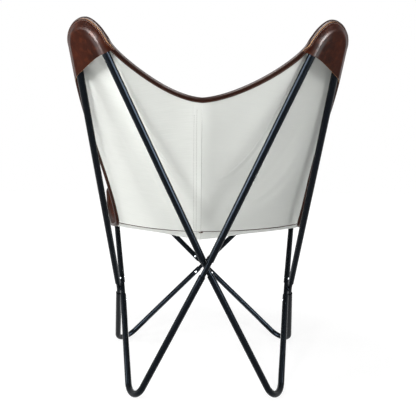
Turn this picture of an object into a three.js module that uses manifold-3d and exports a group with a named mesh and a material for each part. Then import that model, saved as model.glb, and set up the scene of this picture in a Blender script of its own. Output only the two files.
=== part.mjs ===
// Butterfly sling chair: eight bent steel tubes held together by four welded cross joints, and a leather
// sling lined with canvas that hangs on the four peaks by a sewn pocket at each corner.
// Millimetres, +Z up, the floor at z = 0. The sitter faces -Y, and +X is the sitter's left.

import * as THREE from 'three';
import { mergeVertices } from 'three/addons/utils/BufferGeometryUtils.js';
import Module from 'manifold-3d';

const wasm = await Module();
wasm.setup();

const at = (x, y, z) => new THREE.Vector3(x, y, z);
const plus = (point, offset) => point.clone().add(offset);
const along = (point, direction, distance) => point.clone().addScaledVector(direction, distance);
const mirror = (point) => at(-point.x, point.y, point.z);

// Main sizes, from the middle of the side crossings and from the floor to the centres of the bends
const HALF_WIDTH = 241; // out to a back bend
const BACK_REACH = 372.5; // back to a back bend
const BACK_HEIGHT = 798.5; // up to a back bend
const FRONT_REACH = 276; // forward to a front bend
const FRONT_HEIGHT = 439; // up to a front bend
const FRONT_SPLAY = 13; // a front bend lies this much further out than a back one
const SIDE_TUCK = 6; // a side crossing lies this much further in than a back bend

// Frame tube
const TUBE_OD = 16;
const TUBE_WALL = 1.5;
const PEAK_BEND = 43; // centre-line radius of the bends that carry the pockets
const FOOT_BEND = 45; // centre-line radius of the bends that stand on the floor
const FOOT_FLAT = 1; // depth of the flat that each foot bend stands on

// Middle of each crossing, left side given for the pair
const BACK_CROSS = at(0, 301, 334.5);
const FRONT_CROSS = at(0, -259.5, 227);
const SIDE_CROSS = at(HALF_WIDTH - SIDE_TUCK, 0, 212);

// Centre of each bend, left side given for the pair. A foot's height follows from the floor.
const BACK_PEAK = at(HALF_WIDTH, BACK_REACH, BACK_HEIGHT);
const FRONT_PEAK = at(HALF_WIDTH + FRONT_SPLAY, -FRONT_REACH, FRONT_HEIGHT);
const BACK_FOOT = { x: 166, y: 215.5 };
const FRONT_FOOT = { x: 231.5, y: -170.5 };

// Cross joints and their screws
const SPIGOT_CLEARANCE = 0.4; // between a spigot and the bore of its tube
const TUBE_SETBACK = 21; // from the crossing to the end of a tube
const SPIGOT_REACH = 58; // from the crossing to the end of a spigot
const SPIGOT_CHAMFER = 1.2;
const WELD_BITE = 1.6; // how deep the two rods of a cross are melted into each other
const SCREW_PLACE = 38; // from the crossing to the screw
const SCREW_D = 4;
const SCREW_LENGTH = 10;
const SCREW_HEAD_D = 7;
const SCREW_CROWN_D = 5;
const SCREW_RIM_H = 1;
const SCREW_HEAD_H = 2.4;
const HOLE_CLEARANCE = 0.3;

// Sling
const LEATHER = 2;
const LINING = 1;
const POCKET_LEATHER = 1.8;
const BINDING_LEATHER = 1.2;
const BINDING_WIDTH = 7; // how far the binding laps over each face of the sling
const LAYER_GAP = 0.3; // between layers and between panels that are sewn together
const BINDING_GAP = 0.7; // between the sling's faces and the binding's laps
const EDGE_GAP = 1.2; // between the sling's edge and the fold of the binding
const POCKET_INSET = 2.5; // from the sling's edge to the pocket's edge
const POCKET_GAP = 0.6; // between the binding's rear lap and the pocket that is sewn on it
const SIDE_MARGIN = 20; // from the tube to the sling's edge, where a peak's bend leaves its side leg
const INNER_MARGIN = 8.5; // and where it runs into its inner leg
const EDGE_RISE = 7; // the sling's edge lies this far in front of the middle of the tube
const POCKET_BULGE = 17; // the pocket's inside stands this far behind the middle of the tube
const POCKET_ROUND = 6; // how far inside its seam the pocket has swollen by two thirds
const POCKET_HEM = 1.4; // power that keeps the pocket's hem flat before it swells
const POCKET_EDGE_LEAN = 0.25; // how far the cut edge of the pocket's hem leans away from the binding
const POCKET_CROWN = 16; // the pocket's strips meet this far above the centre of the bend
const POCKET_SCOOP = 0.01; // share of the way to there that the mouth is cut up in its middle

// The sling's own points, left side given for the pair
const TOP_SAG = 88; // the top's middle hangs this far below the back bends' centres
const TOP_SET = 82.5; // and this far in front of them
const FRONT_SAG = 37; // the front's middle hangs this far below the front bends' centres
const FRONT_SET = 36; // and this far behind them
const FOLD_SPILL = 5; // the fold's side hangs this far outside the side crossing
const TOP_MIDDLE = at(0, BACK_REACH - TOP_SET, BACK_HEIGHT - TOP_SAG);
const FRONT_MIDDLE = at(0, FRONT_SET - FRONT_REACH, FRONT_HEIGHT - FRONT_SAG);
const FOLD_MIDDLE = at(0, 75, 386); // where the seam between back and seat meets the centre seam
const FOLD_SIDE = at(SIDE_CROSS.x + FOLD_SPILL, 25, 402); // and where it meets the side edge
const BACK_POCKET_DROP = 74; // from the start of the bend down the side leg to the pocket's mouth
const FRONT_POCKET_DROP = 50;
const POCKET_RIM_SHARE = 0.06; // share of the rim, from the bend to the middle, that the pocket runs along
const SEAM_AT_MOUTH = 0.2; // share of the centre seam at which the pocket mouth's strip starts, from the fold
const SEAM_AT_RIM = 0.48; // and the strip at the pocket's inner end
const HAMMOCK = 2.2; // power of the curve that a strip of the sling follows from the middle to the edge
const CREASE_DEPTH = 5; // depth of the soft creases that run from a peak to the middle
const RIDGE = { row: -5, spread: 1.6 }; // rows from the peak's tip, and how wide the crease is
const VALLEY = { row: 0, spread: 2.2 };

// How each edge and seam of the sling sets off from its ends: the handles of its curve
const BACK_SIDE_LOW = at(9, 75, 129); // from the fold's side
const BACK_SIDE_HIGH = 130; // down the leg from the pocket's mouth
const TOP_RIM_OUTER = 30; // on from the bend
const TOP_RIM_INNER = at(82, -1.5, 5.5); // from the top's middle
const SEAT_SIDE_REAR = at(28, -56, -31.5);
const SEAT_SIDE_FRONT = 70;
const FRONT_RIM_OUTER = 20;
const FRONT_RIM_INNER = at(110, 0, 0);
const BACK_SEAM_LOW = at(0, 79, 76); // from the fold's middle
const BACK_SEAM_HIGH = at(0, -60, -116); // from the top's middle
const SEAT_SEAM_REAR = at(0, -70, -52); // from the fold's middle
const SEAT_SEAM_FRONT = at(0, 120, -64); // from the front's middle

// Facets
const TUBE_SIDES = 12;
const SPIGOT_SIDES = 8;
const BEND_STEPS = 9;
const SCREW_SIDES = 6;
const EDGE_ROWS = 6;
const LEG_ROWS = 2;
const ARC_ROWS = 8;
const RIM_ROWS = 5;
const COLUMNS = [0, 0.25, 0.48, 0.68, 0.85, 1]; // from the centre seam to the binding's lap
const POCKET_STEPS = 6;
const POCKET_CROWD = 1.6; // power that crowds the pocket's steps towards its seam
const SLOPE_STEP = 0.01; // share of a strip over which its slope is taken
const FOOT_PASSES = 12; // the height of a foot bend settles in fewer

const TUBE_R = TUBE_OD / 2;
const BORE_R = TUBE_R - TUBE_WALL;
const SPIGOT_R = BORE_R - SPIGOT_CLEARANCE;
const SITTER = at(0, 0, BACK_HEIGHT); // a point on the sitter's side of every wing

const finishes = {
  steel: new THREE.MeshStandardMaterial({ color: 0x191c20, roughness: 0.45, metalness: 0.3 }),
  zinc: new THREE.MeshStandardMaterial({ color: 0xb4b8bc, roughness: 0.35, metalness: 1 }),
  leather: new THREE.MeshStandardMaterial({ color: 0x5a2d19, roughness: 0.45, metalness: 0 }),
  canvas: new THREE.MeshStandardMaterial({ color: 0xdfe2de, roughness: 0.9, metalness: 0 }),
};

const chair = new THREE.Group();

function place(name, geometry, finish) {
  const mesh = new THREE.Mesh(geometry, finishes[finish]);
  mesh.name = name;
  chair.add(mesh);
}

// Solids and booleans

function flipped(geometry) {
  const index = geometry.index.array;
  for (let i = 0; i < index.length; i += 3) [index[i], index[i + 1]] = [index[i + 1], index[i]];
  return geometry;
}

function signedVolume(geometry) {
  const position = geometry.attributes.position;
  const index = geometry.index.array;
  const corner = [at(0, 0, 0), at(0, 0, 0), at(0, 0, 0)];
  let volume = 0;
  for (let i = 0; i < index.length; i += 3) {
    corner.forEach((point, k) => point.fromBufferAttribute(position, index[i + k]));
    volume += corner[0].dot(corner[1].cross(corner[2])) / 6;
  }
  return volume;
}

function outward(geometry) {
  return signedVolume(geometry) < 0 ? flipped(geometry) : geometry;
}

function bare(geometry) {
  const copy = geometry.clone();
  copy.deleteAttribute('normal');
  copy.deleteAttribute('uv');
  return outward(mergeVertices(copy));
}

function solid(geometry) {
  const closed = bare(geometry);
  return new wasm.Manifold(new wasm.Mesh({
    numProp: 3,
    vertProperties: Float32Array.from(closed.attributes.position.array),
    triVerts: Uint32Array.from(closed.index.array),
  }));
}

function geometryOf(manifold) {
  const mesh = manifold.getMesh();
  const geometry = new THREE.BufferGeometry();
  geometry.setAttribute('position', new THREE.BufferAttribute(mesh.vertProperties, 3));
  geometry.setIndex(new THREE.BufferAttribute(mesh.triVerts, 1));
  return geometry;
}

function mirrored(geometry) {
  const copy = geometry.clone();
  copy.scale(-1, 1, 1);
  return outward(copy);
}

// A closed mesh from a list of quads and triangles given by their corner points

function closedMesh(faces) {
  const places = [];
  const index = [];
  const known = new Map();
  const cornerOf = (point) => {
    const key = [point.x, point.y, point.z].map((value) => value.toFixed(4)).join();
    if (!known.has(key)) {
      known.set(key, places.length / 3);
      places.push(point.x, point.y, point.z);
    }
    return known.get(key);
  };
  const triangle = (a, b, c) => {
    if (a !== b && b !== c && c !== a) index.push(a, b, c);
  };
  for (const face of faces) {
    const [a, b, c, d] = face.map(cornerOf);
    triangle(a, b, c);
    if (d !== undefined) triangle(a, c, d);
  }
  const geometry = new THREE.BufferGeometry();
  geometry.setAttribute('position', new THREE.Float32BufferAttribute(places, 3));
  geometry.setIndex(index);
  return outward(geometry);
}

// A wall between two grids of points with the same rows and columns

function wall(front, back) {
  const faces = [];
  const lastRow = front.length - 1;
  const lastColumn = front[0].length - 1;
  for (let i = 0; i < lastRow; i += 1) {
    for (let j = 0; j < lastColumn; j += 1) {
      faces.push([front[i][j], front[i + 1][j], front[i + 1][j + 1], front[i][j + 1]]);
      faces.push([back[i][j], back[i][j + 1], back[i + 1][j + 1], back[i + 1][j]]);
    }
    faces.push([front[i][0], back[i][0], back[i + 1][0], front[i + 1][0]]);
    const [frontEdge, backEdge] = [front, back].map((grid) => [grid[i][lastColumn], grid[i + 1][lastColumn]]);
    faces.push([...frontEdge, backEdge[1], backEdge[0]]);
  }
  for (let j = 0; j < lastColumn; j += 1) {
    faces.push([front[0][j], front[0][j + 1], back[0][j + 1], back[0][j]]);
    faces.push([front[lastRow][j], back[lastRow][j], back[lastRow][j + 1], front[lastRow][j + 1]]);
  }
  return closedMesh(faces);
}

// Frame

class StationCurve extends THREE.Curve {
  // A curve known at its stations: a long straight leg is one step, and a bend has many
  constructor(stations) {
    super();
    this.stations = stations;
  }

  station(t) {
    return this.stations[Math.round(t * (this.stations.length - 1))];
  }

  getPoint(t, target = at(0, 0, 0)) {
    return target.copy(this.station(t).point);
  }

  getTangent(t, target = at(0, 0, 0)) {
    return target.copy(this.station(t).tangent);
  }

  getUtoTmapping(u) {
    return u;
  }
}

function ring(radius, sides) {
  const turn = (2 * Math.PI) / sides;
  return Array.from({ length: sides }, (_, k) => new THREE.Vector2(
    radius * Math.cos(k * turn),
    radius * Math.sin(k * turn),
  ));
}

function bendBetween(first, second, centre, radius) {
  // The arc round centre that two straight legs from first and second run into
  const toFirst = first.clone().sub(centre);
  const toSecond = second.clone().sub(centre);
  const axis = toFirst.clone().cross(toSecond).normalize();
  const leanFirst = Math.acos(radius / toFirst.length());
  const leanSecond = Math.acos(radius / toSecond.length());
  const sweep = 2 * Math.PI - toFirst.angleTo(toSecond) - leanFirst - leanSecond;
  const firstSpoke = toFirst.clone().normalize().applyAxisAngle(axis, -leanFirst);
  const spoke = (share) => firstSpoke.clone().applyAxisAngle(axis, -sweep * share);
  const point = (share, reach = radius) => centre.clone().addScaledVector(spoke(share), reach);
  return { centre, axis, radius, spoke, point, first, second };
}

function bentTube(first, second, centre, radius) {
  const bend = bendBetween(first, second, centre, radius);
  const stations = [];
  for (let k = 0; k <= BEND_STEPS; k += 1) {
    const share = k / BEND_STEPS;
    stations.push({ point: bend.point(share), tangent: bend.spoke(share).cross(bend.axis) });
  }
  const [start, end] = [stations[0], stations[BEND_STEPS]];
  stations.unshift({ ...start, point: along(first, start.tangent, TUBE_SETBACK) });
  stations.push({ ...end, point: along(second, end.tangent, -TUBE_SETBACK) });
  const section = new THREE.Shape(ring(TUBE_R, TUBE_SIDES));
  section.holes.push(new THREE.Path(ring(BORE_R, TUBE_SIDES)));
  const geometry = new THREE.ExtrudeGeometry(section, {
    steps: stations.length - 1,
    extrudePath: new StationCurve(stations),
  });
  return { geometry, legs: [start.tangent, end.tangent.clone().negate()] };
}

function standing(foot, first, second) {
  // The centre of a foot bend whose tube reaches the floor, less the flat
  const centre = at(foot.x, foot.y, FOOT_BEND);
  for (let pass = 0; pass < FOOT_PASSES; pass += 1) {
    const { axis } = bendBetween(first, second, centre, FOOT_BEND);
    centre.z = FOOT_BEND * Math.sqrt(1 - axis.z ** 2) + TUBE_R - FOOT_FLAT;
  }
  return centre;
}

function turned(geometry, axis, origin) {
  // A shape made along +Y, set along axis from origin
  geometry.applyQuaternion(new THREE.Quaternion().setFromUnitVectors(at(0, 1, 0), axis));
  geometry.translate(origin.x, origin.y, origin.z);
  return geometry;
}

function revolved(outline, sides) {
  return new THREE.LatheGeometry(outline.map(([radius, height]) => new THREE.Vector2(radius, height)), sides);
}

function spigot(origin, axis) {
  const outline = [
    [0, -SPIGOT_R / 2],
    [SPIGOT_R, -SPIGOT_R / 2],
    [SPIGOT_R, SPIGOT_REACH - SPIGOT_CHAMFER],
    [SPIGOT_R - SPIGOT_CHAMFER, SPIGOT_REACH],
    [0, SPIGOT_REACH],
  ];
  return solid(turned(revolved(outline, SPIGOT_SIDES), axis, origin));
}

function screw(seat, axis) {
  const outline = [
    [0, -SCREW_LENGTH],
    [SCREW_D / 2, -SCREW_LENGTH],
    [SCREW_D / 2, 0],
    [SCREW_HEAD_D / 2, 0],
    [SCREW_HEAD_D / 2, SCREW_RIM_H],
    [SCREW_CROWN_D / 2, SCREW_HEAD_H],
    [0, SCREW_HEAD_H],
  ];
  return turned(revolved(outline, SCREW_SIDES), axis, seat);
}

function screwHole(seat, axis) {
  const radius = SCREW_D / 2 + HOLE_CLEARANCE;
  const depth = SCREW_LENGTH + HOLE_CLEARANCE;
  const outline = [[0, -depth], [radius, -depth], [radius, TUBE_R], [0, TUBE_R]];
  return solid(turned(revolved(outline, SCREW_SIDES), axis, seat));
}

// Each crossing has two rods, one on each side of its middle. outside points away from the chair.

const crossings = {
  back: { middle: BACK_CROSS, outside: at(0, 1, 0), arms: [] },
  front: { middle: FRONT_CROSS, outside: at(0, -1, 0), arms: [] },
  left: { middle: SIDE_CROSS, outside: at(1, 0, 0), arms: [] },
  right: { middle: mirror(SIDE_CROSS), outside: at(-1, 0, 0), arms: [] },
};

function rodPoint(crossing, layer) {
  return crossing.middle.clone().addScaledVector(crossing.outside, layer * (SPIGOT_R - WELD_BITE / 2));
}

// The rod that each tube's leg is pushed on: 1 is the outer rod of the crossing, -1 the inner one

const tubes = [
  { name: 'back_peak_tube_left', bend: BACK_PEAK, side: ['left', 1], middle: ['back', -1] },
  { name: 'back_peak_tube_right', bend: mirror(BACK_PEAK), side: ['right', 1], middle: ['back', 1] },
  { name: 'front_peak_tube_left', bend: FRONT_PEAK, side: ['left', -1], middle: ['front', -1] },
  { name: 'front_peak_tube_right', bend: mirror(FRONT_PEAK), side: ['right', -1], middle: ['front', 1] },
  { name: 'back_foot_tube_left', foot: BACK_FOOT, hand: 1, side: ['left', -1], middle: ['back', 1] },
  { name: 'back_foot_tube_right', foot: BACK_FOOT, hand: -1, side: ['right', -1], middle: ['back', -1] },
  { name: 'front_foot_tube_left', foot: FRONT_FOOT, hand: 1, side: ['left', 1], middle: ['front', 1] },
  { name: 'front_foot_tube_right', foot: FRONT_FOOT, hand: -1, side: ['right', 1], middle: ['front', -1] },
];

function addTube(tube) {
  const ends = [tube.side, tube.middle].map(([key, layer]) => rodPoint(crossings[key], layer));
  const centre = tube.bend ?? standing({ x: tube.foot.x * tube.hand, y: tube.foot.y }, ...ends);
  const { geometry, legs } = bentTube(...ends, centre, tube.foot ? FOOT_BEND : PEAK_BEND);
  let body = solid(geometry);
  [tube.side, tube.middle].forEach(([key], k) => {
    const crossing = crossings[key];
    const leg = legs[k];
    const inside = crossing.outside.clone().negate();
    const axis = inside.addScaledVector(leg, -inside.dot(leg)).normalize();
    const seat = ends[k].clone().addScaledVector(leg, SCREW_PLACE);
    const head = seat.addScaledVector(axis, TUBE_R + HOLE_CLEARANCE);
    const hole = screwHole(head, axis);
    body = body.subtract(hole);
    crossing.arms.push({ rod: spigot(ends[k], leg), hole });
    const name = `screw_${tube.name.replace('_tube', '')}_${k === 0 ? 'side' : 'middle'}`;
    place(name, bare(screw(head, axis)), 'zinc');
  });
  if (tube.foot) {
    const reach = 2 * (FOOT_BEND + TUBE_OD);
    const ground = new THREE.BoxGeometry(reach, reach, TUBE_OD);
    ground.translate(centre.x, centre.y, -TUBE_OD / 2);
    body = body.subtract(solid(ground));
  }
  place(tube.name, geometryOf(body), 'steel');
}

function addCrossJoint(key) {
  const { arms } = crossings[key];
  const cross = arms.map((arm) => arm.rod).reduce((whole, rod) => whole.add(rod));
  const drilled = arms.map((arm) => arm.hole).reduce((whole, hole) => whole.subtract(hole), cross);
  place(`cross_joint_${key}`, geometryOf(drilled), 'steel');
}

tubes.forEach(addTube);
Object.keys(crossings).forEach(addCrossJoint);

// Sling: each quarter is a fan of strips that run from the centre seam to the edge

function samples(curve, count) {
  return Array.from({ length: count }, (_, k) => curve((k + 1) / count));
}

function wingEdge(bend, drop, sideEdge, rimEdge) {
  // The quarter's edge from the fold seam, up the side, round the peak and down to the middle
  const facing = bend.axis.clone();
  if (facing.dot(SITTER.clone().sub(bend.centre)) < 0) facing.negate();
  const round = (share) => {
    const margin = THREE.MathUtils.lerp(SIDE_MARGIN, INNER_MARGIN, share);
    return along(bend.point(share, bend.radius + TUBE_R + margin), facing, EDGE_RISE);
  };
  const down = bend.first.clone().sub(bend.point(0)).normalize();
  const mouth = along(round(0), down, drop);
  const side = sideEdge(mouth, down);
  const rim = rimEdge(round(1), bend.spoke(1).cross(bend.axis));
  const edge = [
    side.getPoint(0),
    ...samples((t) => side.getPoint(t), EDGE_ROWS),
    ...samples((t) => mouth.clone().lerp(round(0), t), LEG_ROWS),
    ...samples(round, ARC_ROWS),
    rim.getPoint(POCKET_RIM_SHARE),
    ...samples((t) => rim.getPoint(THREE.MathUtils.lerp(POCKET_RIM_SHARE, 1, t)), RIM_ROWS),
  ];
  return { edge, facing, bend };
}

const MOUTH_ROW = EDGE_ROWS;
const TIP_ROW = EDGE_ROWS + LEG_ROWS + ARC_ROWS / 2;
const LAST_POCKET_ROW = EDGE_ROWS + LEG_ROWS + ARC_ROWS + 1;
const ROWS = LAST_POCKET_ROW + RIM_ROWS;
const LAP_COLUMN = COLUMNS.length - 1;
const EDGE_COLUMN = COLUMNS.length;

function rowRange(from, to) {
  return Array.from({ length: to - from + 1 }, (_, k) => from + k);
}

const backWing = wingEdge(
  bendBetween(SIDE_CROSS, BACK_CROSS, BACK_PEAK, PEAK_BEND),
  BACK_POCKET_DROP,
  (mouth, down) => new THREE.CubicBezierCurve3(
    FOLD_SIDE,
    plus(FOLD_SIDE, BACK_SIDE_LOW),
    along(mouth, down, BACK_SIDE_HIGH),
    mouth,
  ),
  (start, onward) => new THREE.CubicBezierCurve3(
    start,
    along(start, onward, TOP_RIM_OUTER),
    plus(TOP_MIDDLE, TOP_RIM_INNER),
    TOP_MIDDLE,
  ),
);

const seatWing = wingEdge(
  bendBetween(SIDE_CROSS, FRONT_CROSS, FRONT_PEAK, PEAK_BEND),
  FRONT_POCKET_DROP,
  (mouth, down) => new THREE.CubicBezierCurve3(
    FOLD_SIDE,
    plus(FOLD_SIDE, SEAT_SIDE_REAR),
    along(mouth, down, SEAT_SIDE_FRONT),
    mouth,
  ),
  (start, onward) => new THREE.CubicBezierCurve3(
    start,
    along(start, onward, FRONT_RIM_OUTER),
    plus(FRONT_MIDDLE, FRONT_RIM_INNER),
    FRONT_MIDDLE,
  ),
);

const backMiddle = new THREE.CubicBezierCurve3(
  FOLD_MIDDLE,
  plus(FOLD_MIDDLE, BACK_SEAM_LOW),
  plus(TOP_MIDDLE, BACK_SEAM_HIGH),
  TOP_MIDDLE,
);

const seatMiddle = new THREE.CubicBezierCurve3(
  FOLD_MIDDLE,
  plus(FOLD_MIDDLE, SEAT_SEAM_REAR),
  plus(FRONT_MIDDLE, SEAT_SEAM_FRONT),
  FRONT_MIDDLE,
);

function creaseLift(row, share) {
  // A ridge and a valley that leave the peak and fade out towards the middle
  const [ridge, valley] = [RIDGE, VALLEY].map((crease) => (
    Math.exp(-(((row - TIP_ROW - crease.row) / crease.spread) ** 2))
  ));
  return CREASE_DEPTH * (ridge - valley) * Math.sin(Math.PI * share) ** 2;
}

function seamShare(row) {
  if (row <= MOUTH_ROW) return THREE.MathUtils.mapLinear(row, 0, MOUTH_ROW, 0, SEAM_AT_MOUTH);
  if (row >= LAST_POCKET_ROW) return THREE.MathUtils.mapLinear(row, LAST_POCKET_ROW, ROWS, SEAM_AT_RIM, 1);
  return THREE.MathUtils.mapLinear(row, MOUTH_ROW, LAST_POCKET_ROW, SEAM_AT_MOUTH, SEAM_AT_RIM);
}

function quarter(wing, middle) {
  // Points and normals of a quarter of the sling, midway between leather and lining
  const raw = (row, share) => {
    const heart = middle.getPoint(seamShare(row));
    const edge = wing.edge[row];
    const curve = share ** HAMMOCK;
    return at(
      THREE.MathUtils.lerp(LAYER_GAP / 2, Math.max(edge.x, LAYER_GAP / 2), share),
      THREE.MathUtils.lerp(heart.y, edge.y, curve),
      THREE.MathUtils.lerp(heart.z, edge.z, curve),
    );
  };
  const lapShare = (row) => {
    // The share of a strip at which the binding's lap begins
    const inner = Math.min(row, ROWS - 1);
    const slope = raw(inner, 1).sub(raw(inner, 1 - SLOPE_STEP)).divideScalar(SLOPE_STEP);
    if (row === 0) return 1 - BINDING_WIDTH / slope.length();
    const tangent = wing.edge[inner + 1].clone().sub(wing.edge[inner - 1]).normalize();
    return 1 - BINDING_WIDTH / slope.cross(tangent).length();
  };
  const rows = rowRange(0, ROWS);
  const shares = rows.map((row) => [...COLUMNS.map((column) => column * lapShare(row)), 1]);
  const normal = (row, share) => {
    const inner = Math.min(row, ROWS - 1);
    const low = share === 1 ? shares[inner][LAP_COLUMN] : Math.max(share - SLOPE_STEP, 0);
    const across = raw(inner, Math.min(share + SLOPE_STEP, 1)).sub(raw(inner, low));
    const up = raw(inner + 1, share).sub(raw(Math.max(inner - 1, 0), share));
    const square = across.cross(up).normalize();
    return square.dot(wing.facing) < 0 ? square.negate() : square;
  };
  const normals = rows.map((row) => shares[row].map((share) => normal(row, share)));
  const points = rows.map((row) => shares[row].map((share, j) => (
    raw(row, share).addScaledVector(normals[row][j], creaseLift(row, share))
  )));
  return { points, normals, wing };
}

const back = quarter(backWing, backMiddle);
const seat = quarter(seatWing, seatMiddle);

rowRange(0, EDGE_COLUMN).forEach((j) => {
  // Both sides of the fold seam end on one mitre, half a gap from it
  const mitre = back.normals[0][j].clone().add(seat.normals[0][j]).normalize();
  for (const side of [back, seat]) {
    side.normals[0][j] = mitre;
    const away = side.points[1][j].clone().sub(side.points[0][j]).normalize();
    side.points[0][j] = along(side.points[0][j], away, LAYER_GAP / 2);
  }
});

function layer({ points, normals }, near, far) {
  const offset = (height) => points.map((row, i) => (
    row.map((point, j) => along(point, normals[i][j], height))
  ));
  return wall(offset(near), offset(far));
}

function addPair(name, geometry, finish) {
  place(`${name}_left`, geometry, finish);
  place(`${name}_right`, mirrored(geometry), finish);
}

const FRONT_FACE = LAYER_GAP / 2 + LEATHER;
const REAR_FACE = -LAYER_GAP / 2 - LINING;

for (const [name, side] of [['back', back], ['seat', seat]]) {
  addPair(`leather_${name}`, layer(side, LAYER_GAP / 2, FRONT_FACE), 'leather');
  addPair(`lining_${name}`, layer(side, -LAYER_GAP / 2, REAR_FACE), 'canvas');
}

// Where the sling is sewn: points of its strips, on its facets

function rowPoint({ points, normals }, row, inset) {
  // The point of a strip at a distance from the edge
  let rest = inset;
  for (let j = EDGE_COLUMN; j > 0; j -= 1) {
    const length = points[row][j].distanceTo(points[row][j - 1]);
    if (rest <= length) {
      const share = rest / length;
      return {
        point: points[row][j].clone().lerp(points[row][j - 1], share),
        normal: normals[row][j].clone().lerp(normals[row][j - 1], share).normalize(),
      };
    }
    rest -= length;
  }
  throw new Error('the sling is narrower than its seam');
}

function edgeFrame({ points, normals }, row) {
  const point = points[row][EDGE_COLUMN];
  const before = points[Math.max(row - 1, 0)][EDGE_COLUMN];
  const after = points[Math.min(row + 1, ROWS)][EDGE_COLUMN];
  const strip = point.clone().sub(points[row][LAP_COLUMN]).normalize();
  const normal = normals[row][EDGE_COLUMN];
  const out = after.clone().sub(before).cross(normal).normalize();
  if (out.dot(strip) < 0) out.negate();
  return { point, out, normal, lean: out.dot(strip) };
}

// Edge binding: a strip folded over the edge, in four lengths that meet at the tips of the peaks

const LAP_FRONT = FRONT_FACE + BINDING_GAP;
const LAP_REAR = REAR_FACE - BINDING_GAP;

function bindingSection(edge, rim) {
  const web = EDGE_GAP + BINDING_LEATHER;
  const lap = (height) => along(rim.point, rim.normal, height);
  const fold = (reach, height) => along(along(edge.point, edge.out, reach), edge.normal, height);
  return [
    lap(LAP_FRONT + BINDING_LEATHER),
    fold(EDGE_GAP, LAP_FRONT + BINDING_LEATHER),
    fold(web, LAP_FRONT),
    fold(web, LAP_REAR),
    fold(EDGE_GAP, LAP_REAR - BINDING_LEATHER),
    lap(LAP_REAR - BINDING_LEATHER),
    lap(LAP_REAR),
    fold(EDGE_GAP, LAP_REAR),
    fold(EDGE_GAP, LAP_FRONT),
    lap(LAP_FRONT),
  ];
}

function lapPoint({ points, normals }, row) {
  return { point: points[row][LAP_COLUMN], normal: normals[row][LAP_COLUMN] };
}

function rowSection(side, row) {
  return bindingSection(edgeFrame(side, row), lapPoint(side, row));
}

function middleSection({ points, normals }) {
  // The section on the centre seam, where the strips have no length left
  const point = points[ROWS][0];
  const down = points[ROWS - 1][0].clone().sub(point).normalize();
  const normal = normals[ROWS][0];
  const edge = { point, out: down.clone().negate(), normal };
  const section = bindingSection(edge, { point: along(point, down, BINDING_WIDTH), normal });
  section.forEach((corner) => corner.setX(0));
  return section;
}

function sleeve(sections) {
  // The sides between sections in the order of the rows, split as the sling's own facets are
  const count = sections[0].length;
  const faces = [];
  for (let i = 0; i + 1 < sections.length; i += 1) {
    const [here, there] = [sections[i], sections[i + 1]];
    for (let k = 0; k < count; k += 1) {
      const next = (k + 1) % count;
      if (k === count - 2) faces.push([here[next], here[k], there[k], there[next]]);
      else faces.push([here[k], there[k], there[next], here[next]]);
    }
  }
  return faces;
}

function cap(section) {
  // A folded strip's end: the front lap, its bevel, the web, its bevel and the rear lap
  const pieces = [[0, 1, 8, 9], [1, 2, 8], [2, 3, 7, 8], [3, 4, 7], [4, 5, 6, 7]];
  return reversed(pieces.map((piece) => piece.map((k) => section[k])));
}

const reversed = (faces) => faces.map(([first, ...rest]) => [first, ...rest.reverse()]);

function pulledBack(end, next) {
  // An end section half a gap short, so that the next length of binding doesn't touch it
  const share = LAYER_GAP / 2 / end[0].distanceTo(next[0]);
  return end.map((point, k) => point.clone().lerp(next[k], share));
}

function addRimBinding(name, side) {
  const [tip, ...rest] = rowRange(TIP_ROW, ROWS - 1).map((row) => rowSection(side, row));
  const sections = [pulledBack(tip, rest[0]), ...rest, middleSection(side)];
  const half = [...sleeve(sections), ...reversed(cap(sections[0]))];
  const otherHalf = reversed(half.map((face) => face.map(mirror)));
  place(name, closedMesh([...half, ...otherHalf]), 'leather');
}

function sideRows(side) {
  const rows = rowRange(1, TIP_ROW).map((row) => rowSection(side, row));
  const tip = rows.pop();
  return [...rows, pulledBack(tip, rows[rows.length - 1])];
}

function addSideBinding() {
  const ends = [back, seat].map((side) => edgeFrame(side, 0));
  const fold = {
    point: ends[0].point.clone().lerp(ends[1].point, 0.5),
    out: ends[0].out.clone().add(ends[1].out).normalize(),
    normal: ends[0].normal,
  };
  const corner = bindingSection(fold, lapPoint(back, 0));
  const [upper, lower] = [back, seat].map((side) => [corner, ...sideRows(side)]);
  const half = (sections) => [...sleeve(sections), ...cap(sections[sections.length - 1])];
  addPair('binding', closedMesh([...reversed(half(upper)), ...half(lower)]), 'leather');
}

addRimBinding('binding_top', back);
addRimBinding('binding_front', seat);
addSideBinding();

// Pockets: a shell behind each peak, sewn to the sling all round but at its mouth

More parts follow.
